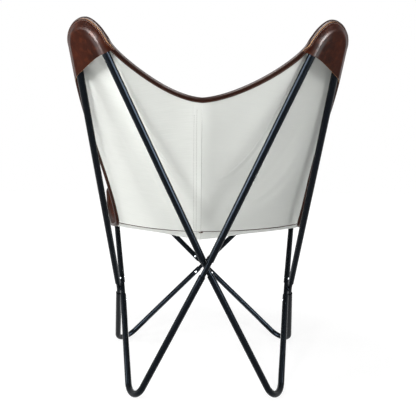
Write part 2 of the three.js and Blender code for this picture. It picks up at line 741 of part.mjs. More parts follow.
function pocket(side) {
  const { facing, bend } = side.wing;
  const [first, last] = [MOUTH_ROW, LAST_POCKET_ROW].map((row) => side.points[row][EDGE_COLUMN]);
  const crown = bend.point(0.5, POCKET_CROWN);
  const mouth = last.clone().sub(first);
  const share = crown.clone().sub(first).dot(mouth) / mouth.lengthSq();
  const nearest = along(along(first, mouth, share), facing, -EDGE_RISE);
  const mouthMiddle = nearest.lerp(crown, POCKET_SCOOP);
  const heart = (row) => {
    const below = Math.max(MOUTH_ROW + LEG_ROWS - row, row - LAST_POCKET_ROW + LEG_ROWS, 0) / LEG_ROWS;
    return along(crown.clone().lerp(mouthMiddle, below), facing, -POCKET_BULGE);
  };
  const rows = rowRange(MOUTH_ROW, LAST_POCKET_ROW);
  const hems = rows.map((row) => rowPoint(side, row, POCKET_INSET / edgeFrame(side, row).lean));
  const inside = rows.map((row, i) => {
    const start = along(hems[i].point, hems[i].normal, LAP_REAR - BINDING_LEATHER - POCKET_GAP);
    const across = heart(row).sub(start);
    const drop = across.dot(facing);
    const flat = across.clone().addScaledVector(facing, -drop);
    const swell = (share) => 1 - Math.exp(-(((share * flat.length()) / POCKET_ROUND) ** POCKET_HEM));
    return Array.from({ length: POCKET_STEPS + 1 }, (_, k) => {
      const share = (k / POCKET_STEPS) ** POCKET_CROWD;
      return along(along(start, flat, share), facing, (drop * swell(share)) / swell(1));
    });
  });
  const lastRow = inside.length - 1;
  const turn = facing.dot(bend.axis);
  const outside = inside.map((row, i) => row.map((point, k) => {
    if (k === POCKET_STEPS) return along(point, facing, -POCKET_LEATHER);
    const around = inside[Math.min(i + 1, lastRow)][k].clone().sub(inside[Math.max(i - 1, 0)][k]);
    const inward = row[k + 1].clone().sub(row[Math.max(k - 1, 0)]);
    const square = around.cross(inward).multiplyScalar(turn).normalize();
    if (k > 0) return along(point, square, POCKET_LEATHER);
    // The hem's cut edge leans out over the binding, never into it
    const lean = Math.max(square.dot(hems[i].normal) + POCKET_EDGE_LEAN, 0);
    return along(point, square.addScaledVector(hems[i].normal, -lean).normalize(), POCKET_LEATHER);
  }));
  return pocketShell(inside, outside);
}

function pocketShell(inside, outside) {
  // The strips meet along the middle of the pocket, so only the rim and the two mouth edges need a wall
  const faces = [];
  const lastRow = inside.length - 1;
  for (let i = 0; i < lastRow; i += 1) {
    for (let k = 0; k < POCKET_STEPS; k += 1) {
      faces.push([inside[i][k], inside[i + 1][k], inside[i + 1][k + 1], inside[i][k + 1]]);
      faces.push([outside[i][k], outside[i][k + 1], outside[i + 1][k + 1], outside[i + 1][k]]);
    }
    faces.push([inside[i][0], outside[i][0], outside[i + 1][0], inside[i + 1][0]]);
  }
  for (let k = 0; k < POCKET_STEPS; k += 1) {
    faces.push([inside[0][k], inside[0][k + 1], outside[0][k + 1], outside[0][k]]);
    faces.push([inside[lastRow][k], outside[lastRow][k], outside[lastRow][k + 1], inside[lastRow][k + 1]]);
  }
  return closedMesh(faces);
}

addPair('pocket_back', pocket(back), 'leather');
addPair('pocket_front', pocket(seat), 'leather');

// The origin is on the floor, under the middle of the chair's box

const box = new THREE.Box3().setFromObject(chair);
chair.position.y = -(box.min.y + box.max.y) / 2;

export default chair;
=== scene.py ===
"""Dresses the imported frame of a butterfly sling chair.

Smooth bent tubes and welded hubs, a leather sling lined with canvas, its folded binding, corner pockets and
stitches, and a plain studio with the photograph's camera. Metres, +Z up, the sitter faces -Y.
"""

import math

import bmesh
import bpy
import numpy as np
from mathutils import Matrix, Vector


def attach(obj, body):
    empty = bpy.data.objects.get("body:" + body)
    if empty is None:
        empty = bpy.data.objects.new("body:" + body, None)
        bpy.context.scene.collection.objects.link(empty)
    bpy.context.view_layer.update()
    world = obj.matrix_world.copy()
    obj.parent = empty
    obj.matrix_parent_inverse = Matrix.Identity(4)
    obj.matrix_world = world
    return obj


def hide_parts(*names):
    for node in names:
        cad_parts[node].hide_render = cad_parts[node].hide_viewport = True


bl_info = {
    "name": "Butterfly sling chair",
    "version": (1, 0, 0),
    "blender": (4, 5, 0),
    "location": "View3D > Sidebar > Chair",
    "description": "Dresses the frame of a butterfly sling chair",
    "category": "Object",
}

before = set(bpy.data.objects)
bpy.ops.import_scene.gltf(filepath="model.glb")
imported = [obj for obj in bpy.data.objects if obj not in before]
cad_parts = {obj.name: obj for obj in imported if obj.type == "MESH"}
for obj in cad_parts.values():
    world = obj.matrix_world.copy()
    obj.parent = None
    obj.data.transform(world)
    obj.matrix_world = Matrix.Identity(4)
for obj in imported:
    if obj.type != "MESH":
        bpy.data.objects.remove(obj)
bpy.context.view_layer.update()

MM = 0.001
ORIGIN_Y = -46.412  # where the drawing's origin, between the side crossings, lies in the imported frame


def at(x, y, z):
    """A point of the drawing, in millimetres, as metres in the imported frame."""
    return np.array((x, y + ORIGIN_Y, z)) * MM


def by(x, y, z):
    """A step of the drawing, in millimetres, as metres."""
    return np.array((x, y, z)) * MM


# Frame: middle of each crossing and centre of each bend, left side given for the pair
BACK_CROSS = at(0, 301, 334.5)
FRONT_CROSS = at(0, -259.5, 227)
SIDE_CROSS = at(235, 0, 212)
BACK_PEAK = at(241, 372.5, 798.5)
FRONT_PEAK = at(254, -276, 439)
BACK_FOOT = at(166, 215.5, 0)
FRONT_FOOT = at(231.5, -170.5, 0)
MIRROR = np.array((-1, 1, 1))
SIDES = {"left": 1, "right": -1}
FOOT_PASSES = 12  # the height of a foot bend settles in fewer

# Sling: its own points, left side given for the pair
TOP_MIDDLE = at(0, 290, 710.5)
FRONT_MIDDLE = at(0, -240, 402)
FOLD_MIDDLE = at(0, 75, 386)
FOLD_SIDE = at(240, 25, 402)
SITTER = at(0, 0, 700)  # a point on the sitter's side of every wing

# Sling: rows along a quarter's edge at which its stretches begin, and the share of the centre seam there
MOUTH_ROW, BEND_ROW, RIM_ROW, HEM_ROW, LAST_ROW = 6, 8, 16, 17, 22
TIP_ROW = (BEND_ROW + RIM_ROW) / 2
POCKET_RIM_SHARE = 0.06
SEAM_KNOTS = ((0, 0), (MOUTH_ROW, 0.2), (HEM_ROW, 0.48), (LAST_ROW, 1))
HAMMOCK = 2.2  # power of the curve that a strip follows from the middle to the edge

# Sling: how far its edge is drawn in round a peak, in millimetres at shares of the bend from the side leg
PEAK_TUCK = tuple(zip(np.linspace(0, 1, 9), (0, 2.4, 5.4, 6.2, 4.4, 2.6, 3, 2.8, 0)))

# Sling: how it hangs off true, in millimetres. Its middle has slipped, less and less up to this distance
SLIP_REACH = 185
# Its right side hangs further out about a height, so far up and down, and behind an end, after a fade
SPREAD_HEIGHT, SPREAD_REACH = 430, 225
SPREAD_END, SPREAD_FADE = -200, 150
SPREAD_SIDE = 0.9  # share of the fold's half width at which it hangs out fully

# Camera, fitted to the photograph: place, turns about the upright, the level and the view, and focal length
CAMERA_PLACE = at(19.036, 1516.495, 600.628)
CAMERA_YAW, CAMERA_PITCH, CAMERA_ROLL = -0.01775349, -0.10610582, 0.00838305
CAMERA_FOCAL_PX = 550
IMAGE_PX = 416
SENSOR_MM = 36


def linear(hex_colour):
    """An sRGB hex colour as linear red, green and blue, with full alpha."""
    channels = [int(hex_colour[i : i + 2], 16) / 255 for i in (1, 3, 5)]
    return (*(c / 12.92 if c <= 0.04045 else ((c + 0.055) / 1.055) ** 2.4 for c in channels), 1)


def size(name, description, millimetres):
    """A length property, given in millimetres."""
    return bpy.props.FloatProperty(
        name=name, description=description, default=millimetres * MM, subtype="DISTANCE", unit="LENGTH"
    )


def colour(name, description, hex_colour):
    """A colour property, given as sRGB hex."""
    default = linear(hex_colour)
    return bpy.props.FloatVectorProperty(
        name=name, description=description, default=default, size=4, subtype="COLOR", min=0, max=1
    )


def count(name, description, number):
    """A whole-number property."""
    return bpy.props.IntProperty(name=name, description=description, default=number, min=1)


def amount(name, description, value):
    """A plain number property."""
    return bpy.props.FloatProperty(name=name, description=description, default=value, min=0)


class ChairFrameSizes(bpy.types.PropertyGroup):
    """Sizes of the tubes, hubs and screws."""

    tube: size("Tube", "Outer diameter of the frame's tube", 16)
    wall: size("Wall", "Wall of the frame's tube", 1.5)
    peak_bend: size("Peak bend", "Centre-line radius of the bends that carry the pockets", 43)
    foot_bend: size("Foot bend", "Centre-line radius of the bends on the floor", 45)
    foot_flat: size("Foot flat", "Depth of the worn flat under each foot", 1)
    setback: size("Setback", "From a crossing to the end of a tube", 21)
    rod_clearance: size("Rod clearance", "Between a rod and the bore of its tube", 0.4)
    rod_reach: size("Rod reach", "From a crossing to the end of its rod, inside the tube", 58)
    rod_bend: size("Rod bend", "From a crossing to where its rod runs straight", 12)
    weld_bite: size("Weld bite", "How deep the two rods of a hub are melted into each other", 1.6)
    weld_bead: size("Weld bead", "Diameter of the weld's ripples", 3.2)
    weld_pitch: size("Weld pitch", "From one ripple of the weld to the next", 1.5)
    screw_place: size("Screw place", "From a crossing to its screws", 38)
    screw_head: size("Screw head", "Diameter of a screw's head", 7)
    screw_rise: size("Screw rise", "Height of a screw's head", 2.4)
    screw_socket: size("Screw socket", "Width of the hexagon in a screw's head", 2.5)
    tube_sides: count("Tube sides", "Faces round a tube", 32)
    bend_steps: count("Bend steps", "Rings along a bend", 28)


class ChairSlingSizes(bpy.types.PropertyGroup):
    """Sizes of the sling, its binding, pockets and stitches."""

    leather: size("Leather", "Thickness of the sitter's side", 2)
    canvas: size("Canvas", "Thickness of the lining", 1)
    layer_gap: size("Layer gap", "Between the leather and the lining", 0.3)
    side_margin: size("Side margin", "From the tube to the sling's edge at the side leg", 20)
    inner_margin: size("Inner margin", "From the tube to the sling's edge at the inner leg", 8.5)
    edge_rise: size("Edge rise", "The sling's edge lies this far in front of the tube's middle", 7)
    crease: size("Crease", "Depth of the soft creases that run from a peak to the middle", 2)
    ripple: size("Ripple", "Depth of the finer pull lines beside the creases", 0.6)
    fold_round: size("Fold round", "How far the fold between back and seat is rounded", 8)
    seam_ridge: size("Seam ridge", "How far the stiff centre seam stands out behind", 3)
    seam_spread: size("Seam spread", "How far from the centre seam that ridge has fallen to a third", 30)
    fell: size("Fell", "Width of the flat-felled seam in the lining", 21)
    fell_rise: size("Fell rise", "How far the felled seam stands up", 0.9)
    groove: size("Groove", "Width of the groove along a seam of the leather", 2.4)
    groove_depth: size("Groove depth", "Depth of that groove", 0.9)
    binding: size("Binding", "How far the binding laps over each face of the sling", 8.5)
    binding_leather: size("Binding leather", "Thickness of the binding", 1.2)
    pocket_leather: size("Pocket leather", "Thickness of a pocket", 1.8)
    pocket_inset: size("Pocket inset", "From the sling's edge to the pocket's cut edge", -1)
    pocket_hem: size("Pocket hem", "Width of the pocket's flat hem", 2.6)
    pocket_crown: size("Pocket crown", "From the bend's centre up to the middle of the pocket's dome", 16)
    pocket_dip: size("Pocket dip", "How far the pocket sinks between the legs of the tube", 1)
    pocket_stitch: size("Pocket stitch", "From the pocket's cut edge to its stitches", 2.4)
    pocket_side: size("Pocket side", "How much longer the pocket is at its side leg than its solid", 9)
    pocket_rim: size("Pocket rim", "How far along the rim the pocket's mouth ends", 12)
    pocket_scoop: size("Pocket scoop", "How far the pocket's mouth is cut in at its middle", 4)
    spread: size("Spread", "How much further out the sling hangs beside the fold on the sitter's right", 19)
    slip: size("Slip", "How far the middle of the sling has slipped to the sitter's left", 12)
    piping: size("Piping", "Diameter of the cord of leather in the fold seam", 2.2)
    stitch: size("Stitch", "Length of a stitch", 3.4)
    stitch_pitch: size("Stitch pitch", "From one stitch to the next", 4.4)
    thread: size("Thread", "Diameter of the thread", 0.9)


class ChairFinishes(bpy.types.PropertyGroup):
    """Colours of the chair's materials."""

    steel: colour("Steel", "Black powder coat", "#08090b")
    steel_gloss: colour("Steel gloss", "Tint of the powder coat's highlights", "#b9d2ee")
    steel_worn: colour("Worn steel", "Powder coat rubbed by the floor", "#3a3b3d")
    zinc: colour("Zinc", "Zinc plating of the screws", "#c3c7cb")
    leather: colour("Leather", "Waxed leather", "#3a170a")
    leather_dark: colour("Dark leather", "Waxed leather in its dark clouds", "#260d05")
    leather_light: colour("Light leather", "Waxed leather where it is pulled up", "#562812")
    binding: colour("Binding", "Thin leather of the binding", "#2e1a13")
    cut_edge: colour("Cut edge", "Raw edge of the leather", "#b0865f")
    canvas: colour("Canvas", "Cotton duck", "#e2e4df")
    # Painted shade: the right panels' darker colour stands in for the shade that falls on the sling's right
    # half
    canvas_shaded_right: colour("Right canvas", "Cotton duck of the right panels, cut across the weave", "#c7c9c5")
    canvas_shade: colour("Canvas shade", "Cotton duck in the dips of its weave", "#cfd2cc")
    thread: colour("Thread", "Waxed thread in the leather", "#6b4630")
    cotton: colour("Cotton", "Cotton thread in the lining", "#a9aaa4")
    floor: colour("Floor", "Studio floor", "#f4f4f4")


class ChairStageSettings(bpy.types.PropertyGroup):
    """Strengths of the studio's lights."""

    sky: amount("Sky", "Strength of the even light from all round", 0.11)
    key: amount("Key", "Power of the softbox high on the sitter's left, in watts", 20)
    fill: amount("Fill", "Power of the softbox high on the sitter's right, in watts", 18)
    card: amount("Card", "Power of each white card that only shows in gloss, in watts", 165)
    side: amount("Side", "Power of the softbox low beside the sitter's left, in watts", 23)
    top: amount("Top", "Power of the softbox overhead, in watts", 7)
    front: amount("Front", "Power of the soft light before the sitter, in watts", 7)
    board: amount("Board", "Power of the bounce board on the floor under the seat, in watts", 1.2)
    floor: amount("Floor", "White of the floor as the camera sees it", 1.16)
    shadow: amount("Shadow", "Share of the floor's own shade that the camera sees", 0.28)


def frame_sizes():
    return bpy.context.scene.chair_frame


def sling_sizes():
    return bpy.context.scene.chair_sling


def finishes():
    return bpy.context.scene.chair_finishes


def stage_settings():
    return bpy.context.scene.chair_stage


# Vectors and curves


def unit(vectors):
    """Vectors of length one, along the last axis."""
    lengths = np.linalg.norm(vectors, axis=-1, keepdims=True)
    return vectors / np.maximum(lengths, 1e-12)


def lerp(start, end, share):
    return start + (end - start) * share


def smooth(share):
    """A soft step from 0 to 1."""
    share = np.clip(share, 0, 1)
    return share * share * (3 - 2 * share)


def bezier(points, share):
    """Points of a cubic Bezier curve at an array of shares."""
    t = np.asarray(share, float)[..., None]
    a, b, c, d = points
    return a * (1 - t) ** 3 + 3 * b * t * (1 - t) ** 2 + 3 * c * t**2 * (1 - t) + d * t**3


def through(knots, x):
    """A smooth curve through knots (x, y) that never overshoots them."""
    xs, ys = (np.array(column, float) for column in zip(*knots))
    slopes = np.diff(ys) / np.diff(xs)
    same_way = slopes[1:] * slopes[:-1] > 0
    total = np.where(same_way, slopes[1:] + slopes[:-1], 1)
    middle = np.where(same_way, 2 * slopes[1:] * slopes[:-1] / total, 0)
    lean = np.concatenate(([slopes[0]], middle, [slopes[-1]]))
    i = np.clip(np.searchsorted(xs, x, side="right") - 1, 0, len(slopes) - 1)
    width = xs[i + 1] - xs[i]
    t = (x - xs[i]) / width
    rise = ys[i + 1] - ys[i]
    bow = lean[i] * width * t * (1 - t) ** 2 - lean[i + 1] * width * t**2 * (1 - t)
    return ys[i] + rise * t * t * (3 - 2 * t) + bow


def lengths_along(points):
    """Distance along a polyline to each of its points, over the first axis."""
    steps = np.linalg.norm(np.diff(points, axis=0), axis=-1)
    return np.concatenate((np.zeros((1,) + steps.shape[1:]), np.cumsum(steps, axis=0)))


def resampled(points, places, new_places):
    """Values known at places, at new places."""
    return np.stack([np.interp(new_places, places, column) for column in points.T], axis=-1)


def runs(ends, counts):
    """Even steps from end to end, so many places on each run, with every end once."""
    parts = [np.linspace(a, b, n)[1:] for a, b, n in zip(ends, ends[1:], counts)]
    return np.concatenate((ends[:1], *parts))


def softened(values, passes):
    """Values averaged with their neighbours along the first axis."""
    for _ in range(passes):
        inner = (values[:-2] + 2 * values[1:-1] + values[2:]) / 4
        values = np.concatenate((values[:1], inner, values[-1:]))
    return values


def taut(places, heights):
    """A string pulled tight over heights at places: never below them, straight between its touches."""
    kept = []
    for point in zip(places, heights):
        while len(kept) > 1:
            (x0, y0), (x1, y1) = kept[-2:]
            if (x1 - x0) * (point[1] - y0) < (y1 - y0) * (point[0] - x0):
                break
            kept.pop()
        kept.append(point)
    return np.interp(places, *zip(*kept))


class Bend:
    """The arc round a centre that two straight legs, from first and from second, run into."""

    def __init__(self, first, second, centre, radius):
        to_first, to_second = first - centre, second - centre
        reach_first, reach_second = np.linalg.norm(to_first), np.linalg.norm(to_second)
        self.first, self.second, self.centre, self.radius = first, second, centre, radius
        self.axis = unit(np.cross(to_first, to_second))
        apart = math.acos(to_first @ to_second / (reach_first * reach_second))
        lean_first = math.acos(radius / reach_first)
        self.sweep = math.tau - apart - lean_first - math.acos(radius / reach_second)
        self.start = self.turned(to_first / reach_first, -lean_first)

    def turned(self, spoke, angle):
        angle = np.asarray(angle, float)[..., None]
        return spoke * np.cos(angle) + np.cross(self.axis, spoke) * np.sin(angle)

    def spoke(self, share):
        return self.turned(self.start, -self.sweep * np.asarray(share, float))

    def point(self, share, reach=None):
        reach = self.radius if reach is None else np.asarray(reach, float)[..., None]
        return self.centre + self.spoke(share) * reach

    def tangent(self, share):
        return np.cross(self.spoke(share), self.axis)


# Meshes and pieces

# Points closer than this are merged and edges shorter than this taken out, in metres
DOUBLES, SLIVERS = 1e-6, 1e-7

# Angles beyond which an edge stays sharp, in degrees
SOFT_SHARP, STEEL_SHARP, SCREW_SHARP = 48, 50, 40


def shown_object(name, mesh):
    """A new object of the chair, at the origin."""
    piece = bpy.data.objects.new(name, mesh)
    bpy.context.scene.collection.objects.link(piece)
    return piece


def polyline_mesh(name, lines, cyclic=False):
    """A mesh of edges only, one chain for each list of points."""
    points, edges = [], []
    for line in lines:
        first = len(points)
        points += [tuple(p) for p in line]
        edges += [(k, k + 1) for k in range(first, len(points) - 1)]
        if cyclic:
            edges.append((len(points) - 1, first))
    mesh = bpy.data.meshes.new(name)
    mesh.from_pydata(points, edges, [])
    return mesh


def grid_faces(rows, columns, first=0):
    """Quads of a grid of points that is stored row by row."""
    i, j = np.meshgrid(np.arange(rows - 1), np.arange(columns - 1), indexing="ij")
    corner = (first + i * columns + j).ravel()
    return np.stack((corner, corner + columns, corner + columns + 1, corner + 1), axis=-1)


def loop_faces(rows, around, first=0):
    """Quads of a sleeve whose rings are stored one after another."""
    i, k = np.meshgrid(np.arange(rows - 1), np.arange(around), indexing="ij")
    here, beside = first + i * around + k, first + i * around + (k + 1) % around
    return np.stack((here, here + around, beside + around, beside), axis=-1).reshape(-1, 4)


def grid_outline(rows, columns):
    """Numbers of the points along a grid's first row, last row, first column and last column."""
    numbers = np.arange(rows * columns).reshape(rows, columns)
    return numbers[0], numbers[-1], numbers[:, 0], numbers[:, -1]


def two_grids(lower, upper, lines):
    """Points and faces of two grids of points, joined by quads along lines of point numbers."""
    rows, columns = lower.shape[:2]
    second = rows * columns
    points = np.concatenate((lower.reshape(-1, 3), upper.reshape(-1, 3)))
    faces = [*grid_faces(rows, columns), *grid_faces(rows, columns, second)[:, ::-1]]
    for line in lines:
        faces += [(a, b, b + second, a + second) for a, b in zip(line, line[1:])]
    return points, faces


def closed_piece(name, points, faces, materials, slots=None, flat=None, taut_at=None):
    """A closed mesh piece: doubles merged, faces turned outwards, smooth but for its sharp edges."""
    mesh = bpy.data.meshes.new(name)
    mesh.from_pydata([tuple(p) for p in points], [], [tuple(map(int, f)) for f in faces])
    if slots is not None:
        mesh.polygons.foreach_set("material_index", np.asarray(slots, np.int32))
    if flat is not None:
        layer = mesh.uv_layers.new(name="flat")
        corners = np.empty(len(mesh.loops), np.int32)
        mesh.loops.foreach_get("vertex_index", corners)
        layer.data.foreach_set("uv", np.asarray(flat, np.float32)[corners].ravel())
    if taut_at is not None:
        stretch = mesh.attributes.new("taut", "FLOAT", "POINT")
        stretch.data.foreach_set("value", np.asarray(taut_at, np.float32).ravel())
    work = bmesh.new()
    work.from_mesh(mesh)
    bmesh.ops.remove_doubles(work, verts=work.verts, dist=DOUBLES)
    bmesh.ops.dissolve_degenerate(work, edges=work.edges, dist=SLIVERS)
    bmesh.ops.recalc_face_normals(work, faces=work.faces)
    work.to_mesh(mesh)
    work.free()
    mesh.polygons.foreach_set("use_smooth", np.ones(len(mesh.polygons), bool))
    mesh.set_sharp_from_angle(angle=math.radians(SOFT_SHARP))
    for material in materials:
        mesh.materials.append(material)
    return shown_object(name, mesh)


def keep(piece, slot, *nodes):
    """The piece rides on the chair's one body and stands for CAD nodes, which are hidden; slot is not used.
    """
    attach(piece, "root")
    if nodes:
        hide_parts(*nodes)
    return piece


# Nodes


def plug(tree, node, sockets):
    """Sets or links a node's sockets; a list of sockets is linked one after another."""
    for key, value in sockets.items():
        for one in value if isinstance(value, list) else [value]:
            if isinstance(one, bpy.types.NodeSocket):
                tree.links.new(one, node.inputs[key])
            else:
                node.inputs[key].default_value = one


def add(tree, kind, sockets=None, **settings):
    """Adds a node with its settings, sets or links its sockets, and gives back its outputs."""
    node = tree.nodes.new(kind)
    for name, value in settings.items():
        setattr(node, name, value)
    plug(tree, node, sockets or {})
    return node.outputs


def geometry_tree(name, inputs):
    """An empty Geometry Nodes tree and its inputs, which are given as name: kind of socket."""
    tree = bpy.data.node_groups.new(name, "GeometryNodeTree")
    for label, kind in {"Geometry": "Geometry", **inputs}.items():
        tree.interface.new_socket(label, in_out="INPUT", socket_type="NodeSocket" + kind)
    tree.interface.new_socket("Geometry", in_out="OUTPUT", socket_type="NodeSocketGeometry")
    return tree, add(tree, "NodeGroupInput")


def finished_tree(tree, geometry, finish):
    """Ends a tree: instances made real, smooth faces, the finish set."""
    real = add(tree, "GeometryNodeRealizeInstances", {"Geometry": geometry})["Geometry"]
    soft = add(tree, "GeometryNodeSetShadeSmooth", {"Geometry": real})["Geometry"]
    dressed = add(tree, "GeometryNodeSetMaterial", {"Geometry": soft, "Material": finish})
    add(tree, "NodeGroupOutput", {0: dressed["Geometry"]})


def grown(name, mesh, tree, values):
    """The plain mesh piece that a Geometry Nodes tree makes from a guide mesh."""
    guide = shown_object(name + "_guide", mesh)
    modifier = guide.modifiers.new("grow", "NODES")
    modifier.node_group = tree
    known = {item.name: item.identifier for item in tree.interface.items_tree if item.in_out == "INPUT"}
    for label, value in values.items():
        modifier[known[label]] = value
    evaluated = guide.evaluated_get(bpy.context.evaluated_depsgraph_get())
    made = bpy.data.meshes.new_from_object(evaluated)
    made.name = name
    guide.modifiers.remove(modifier)
    bpy.data.objects.remove(guide)
    return made


def swept_tree():
    """A round tube or bar along each chain of a guide mesh."""
    tree, given = geometry_tree(
        "swept tube",
        {"Radius": "Float", "Wall": "Float", "Sides": "Int", "Solid": "Bool", "Finish": "Material"},
    )
    path = add(tree, "GeometryNodeMeshToCurve", {"Mesh": given["Geometry"]})["Curve"]
    ring = add(
        tree, "GeometryNodeCurvePrimitiveCircle", {"Resolution": given["Sides"], "Radius": given["Radius"]}
    )["Curve"]
    outer = add(
        tree, "GeometryNodeCurveToMesh", {"Curve": path, "Profile Curve": ring, "Fill Caps": given["Solid"]}
    )["Mesh"]
    inward = add(tree, "ShaderNodeMath", {0: given["Wall"], 1: -1.0}, operation="MULTIPLY")[0]
    pushed = add(
        tree, "GeometryNodeExtrudeMesh", {"Mesh": outer, "Offset Scale": inward, "Individual": False}
    )["Mesh"]
    bore = add(tree, "GeometryNodeFlipFaces", {"Mesh": pushed})["Mesh"]
    both = add(tree, "GeometryNodeJoinGeometry", {0: [outer, bore]})
    pipe = add(tree, "GeometryNodeMergeByDistance", {"Geometry": both[0], "Distance": 1e-5})
    chosen = add(
        tree,
        "GeometryNodeSwitch",
        {"Switch": given["Solid"], "False": pipe["Geometry"], "True": outer},
        input_type="GEOMETRY",
    )
    finished_tree(tree, chosen[0], given["Finish"])
    return tree


def places_along(tree, given):
    """Points a pitch apart along each chain of a guide mesh, with their rotations."""
    path = add(tree, "GeometryNodeMeshToCurve", {"Mesh": given["Geometry"]})["Curve"]
    return add(tree, "GeometryNodeCurveToPoints", {"Curve": path, "Length": given["Pitch"]}, mode="LENGTH")


def beads_tree():
    """Overlapping round ripples along each chain of a guide mesh."""
    inputs = {"Radius": "Float", "Pitch": "Float", "Finish": "Material"}
    tree, given = geometry_tree("weld ripples", inputs)
    points = places_along(tree, given)
    ball = add(tree, "GeometryNodeMeshIcoSphere", {"Radius": given["Radius"], "Subdivisions": 2})["Mesh"]
    ripples = add(tree, "GeometryNodeInstanceOnPoints", {"Points": points["Points"], "Instance": ball})
    finished_tree(tree, ripples["Instances"], given["Finish"])
    return tree


def stitch_tree():
    """Stitches along each chain of a guide mesh."""
    inputs = {"Thread": "Float", "Stitch": "Float", "Pitch": "Float", "Finish": "Material"}
    tree, given = geometry_tree("stitches", inputs)
    points = places_along(tree, given)
    ball = add(tree, "GeometryNodeMeshUVSphere", {"Segments": 6, "Rings": 5, "Radius": 0.5})["Mesh"]
    shape = add(
        tree, "ShaderNodeCombineXYZ", {0: given["Thread"], 1: given["Thread"], 2: given["Stitch"]}
    )[0]
    placed = add(
        tree,
        "GeometryNodeInstanceOnPoints",
        {"Points": points["Points"], "Instance": ball, "Rotation": points["Rotation"], "Scale": shape},
    )
    finished_tree(tree, placed["Instances"], given["Finish"])
    return tree


def screw_tree():
    """A copy of a screw on each point of a guide mesh, turned along the point's axis attribute."""
    tree, given = geometry_tree("screws", {"Screw": "Object", "Finish": "Material"})
    screw = add(tree, "GeometryNodeObjectInfo", {"Object": given["Screw"]})["Geometry"]
    axis = add(tree, "GeometryNodeInputNamedAttribute", {"Name": "axis"}, data_type="FLOAT_VECTOR")
    turn = add(tree, "FunctionNodeAlignRotationToVector", {"Vector": axis[0]}, axis="Z")
    placed = add(
        tree,
        "GeometryNodeInstanceOnPoints",
        {"Points": given["Geometry"], "Instance": screw, "Rotation": turn[0]},
    )
    finished_tree(tree, placed["Instances"], given["Finish"])
    return tree


# Materials

# Sockets of the Mix node when it mixes colours
MIX_FACTOR, MIX_A, MIX_B, MIX_RESULT = 0, 6, 7, 2


def material(name):
    """A new node material, with its tree and its shader."""
    made = bpy.data.materials.new(name)
    made.use_nodes = True
    return made, made.node_tree, made.node_tree.nodes["Principled BSDF"]


def powder_coat():
    """Polyester powder coat on steel, baked: deep black, satin, with a faint orange peel."""
    made, tree, shader = material("black powder coat")
    place = add(tree, "ShaderNodeTexCoord")["Object"]
    peel_mm, cloud_mm = 1.6, 45
    worn_mm, whole_mm = 0.2, 1.6  # heights up to which the coat is rubbed through, and from which it is whole
    peel = add(tree, "ShaderNodeTexNoise", {"Vector": place, "Scale": 1 / (peel_mm * MM), "Detail": 2})
    cloud = add(tree, "ShaderNodeTexNoise", {"Vector": place, "Scale": 1 / (cloud_mm * MM), "Detail": 3})
    gloss = add(
        tree,
        "ShaderNodeMapRange",
        {"Value": cloud[0], "From Min": 0.35, "From Max": 0.65, "To Min": 0.2, "To Max": 0.26},
    )
    height = add(tree, "ShaderNodeSeparateXYZ", {0: place})["Z"]
    low = add(
        tree,
        "ShaderNodeMapRange",
        {"Value": height, "From Min": worn_mm * MM, "From Max": whole_mm * MM, "To Min": 1.0, "To Max": 0.0},
    )
    rubbed = add(tree, "ShaderNodeMath", {0: low[0], 1: peel[0]}, operation="MULTIPLY")
    tone = add(
        tree,
        "ShaderNodeMix",
        {MIX_FACTOR: rubbed[0], MIX_A: finishes().steel, MIX_B: finishes().steel_worn},
        data_type="RGBA",
    )
    bump = add(tree, "ShaderNodeBump", {"Strength": 0.12, "Distance": 0.0002, "Height": peel[0]})
    look = {
        "Base Color": tone[MIX_RESULT],
        "Roughness": gloss[0],
        "Specular IOR Level": 0.11,
        "Specular Tint": finishes().steel_gloss,
        "Normal": bump[0],
    }
    plug(tree, shader, look)
    return made


def zinc_plate():
    """Bright zinc plating on small steel screws: pale, slightly blue, lightly brushed."""
    made, tree, shader = material("zinc plate")
    place = add(tree, "ShaderNodeTexCoord")["Object"]
    grit_mm = 0.8
    grit = add(tree, "ShaderNodeTexNoise", {"Vector": place, "Scale": 1 / (grit_mm * MM), "Detail": 3})
    gloss = add(tree, "ShaderNodeMapRange", {"Value": grit[0], "To Min": 0.2, "To Max": 0.42})
    plug(tree, shader, {"Base Color": finishes().zinc, "Metallic": 1, "Roughness": gloss[0]})
    return made


def waxed_leather():
    """Full-grain cowhide, drum-dyed and waxed: warm brown clouds, polished where a tube stretches it."""
    return hide("waxed leather", finishes().leather, finishes().leather_dark, finishes().leather_light)


def binding_leather():
    """Thin split for the binding, dyed through: darker and duller brown than the panels."""
    return hide("binding leather", finishes().binding, finishes().leather_dark, finishes().binding)


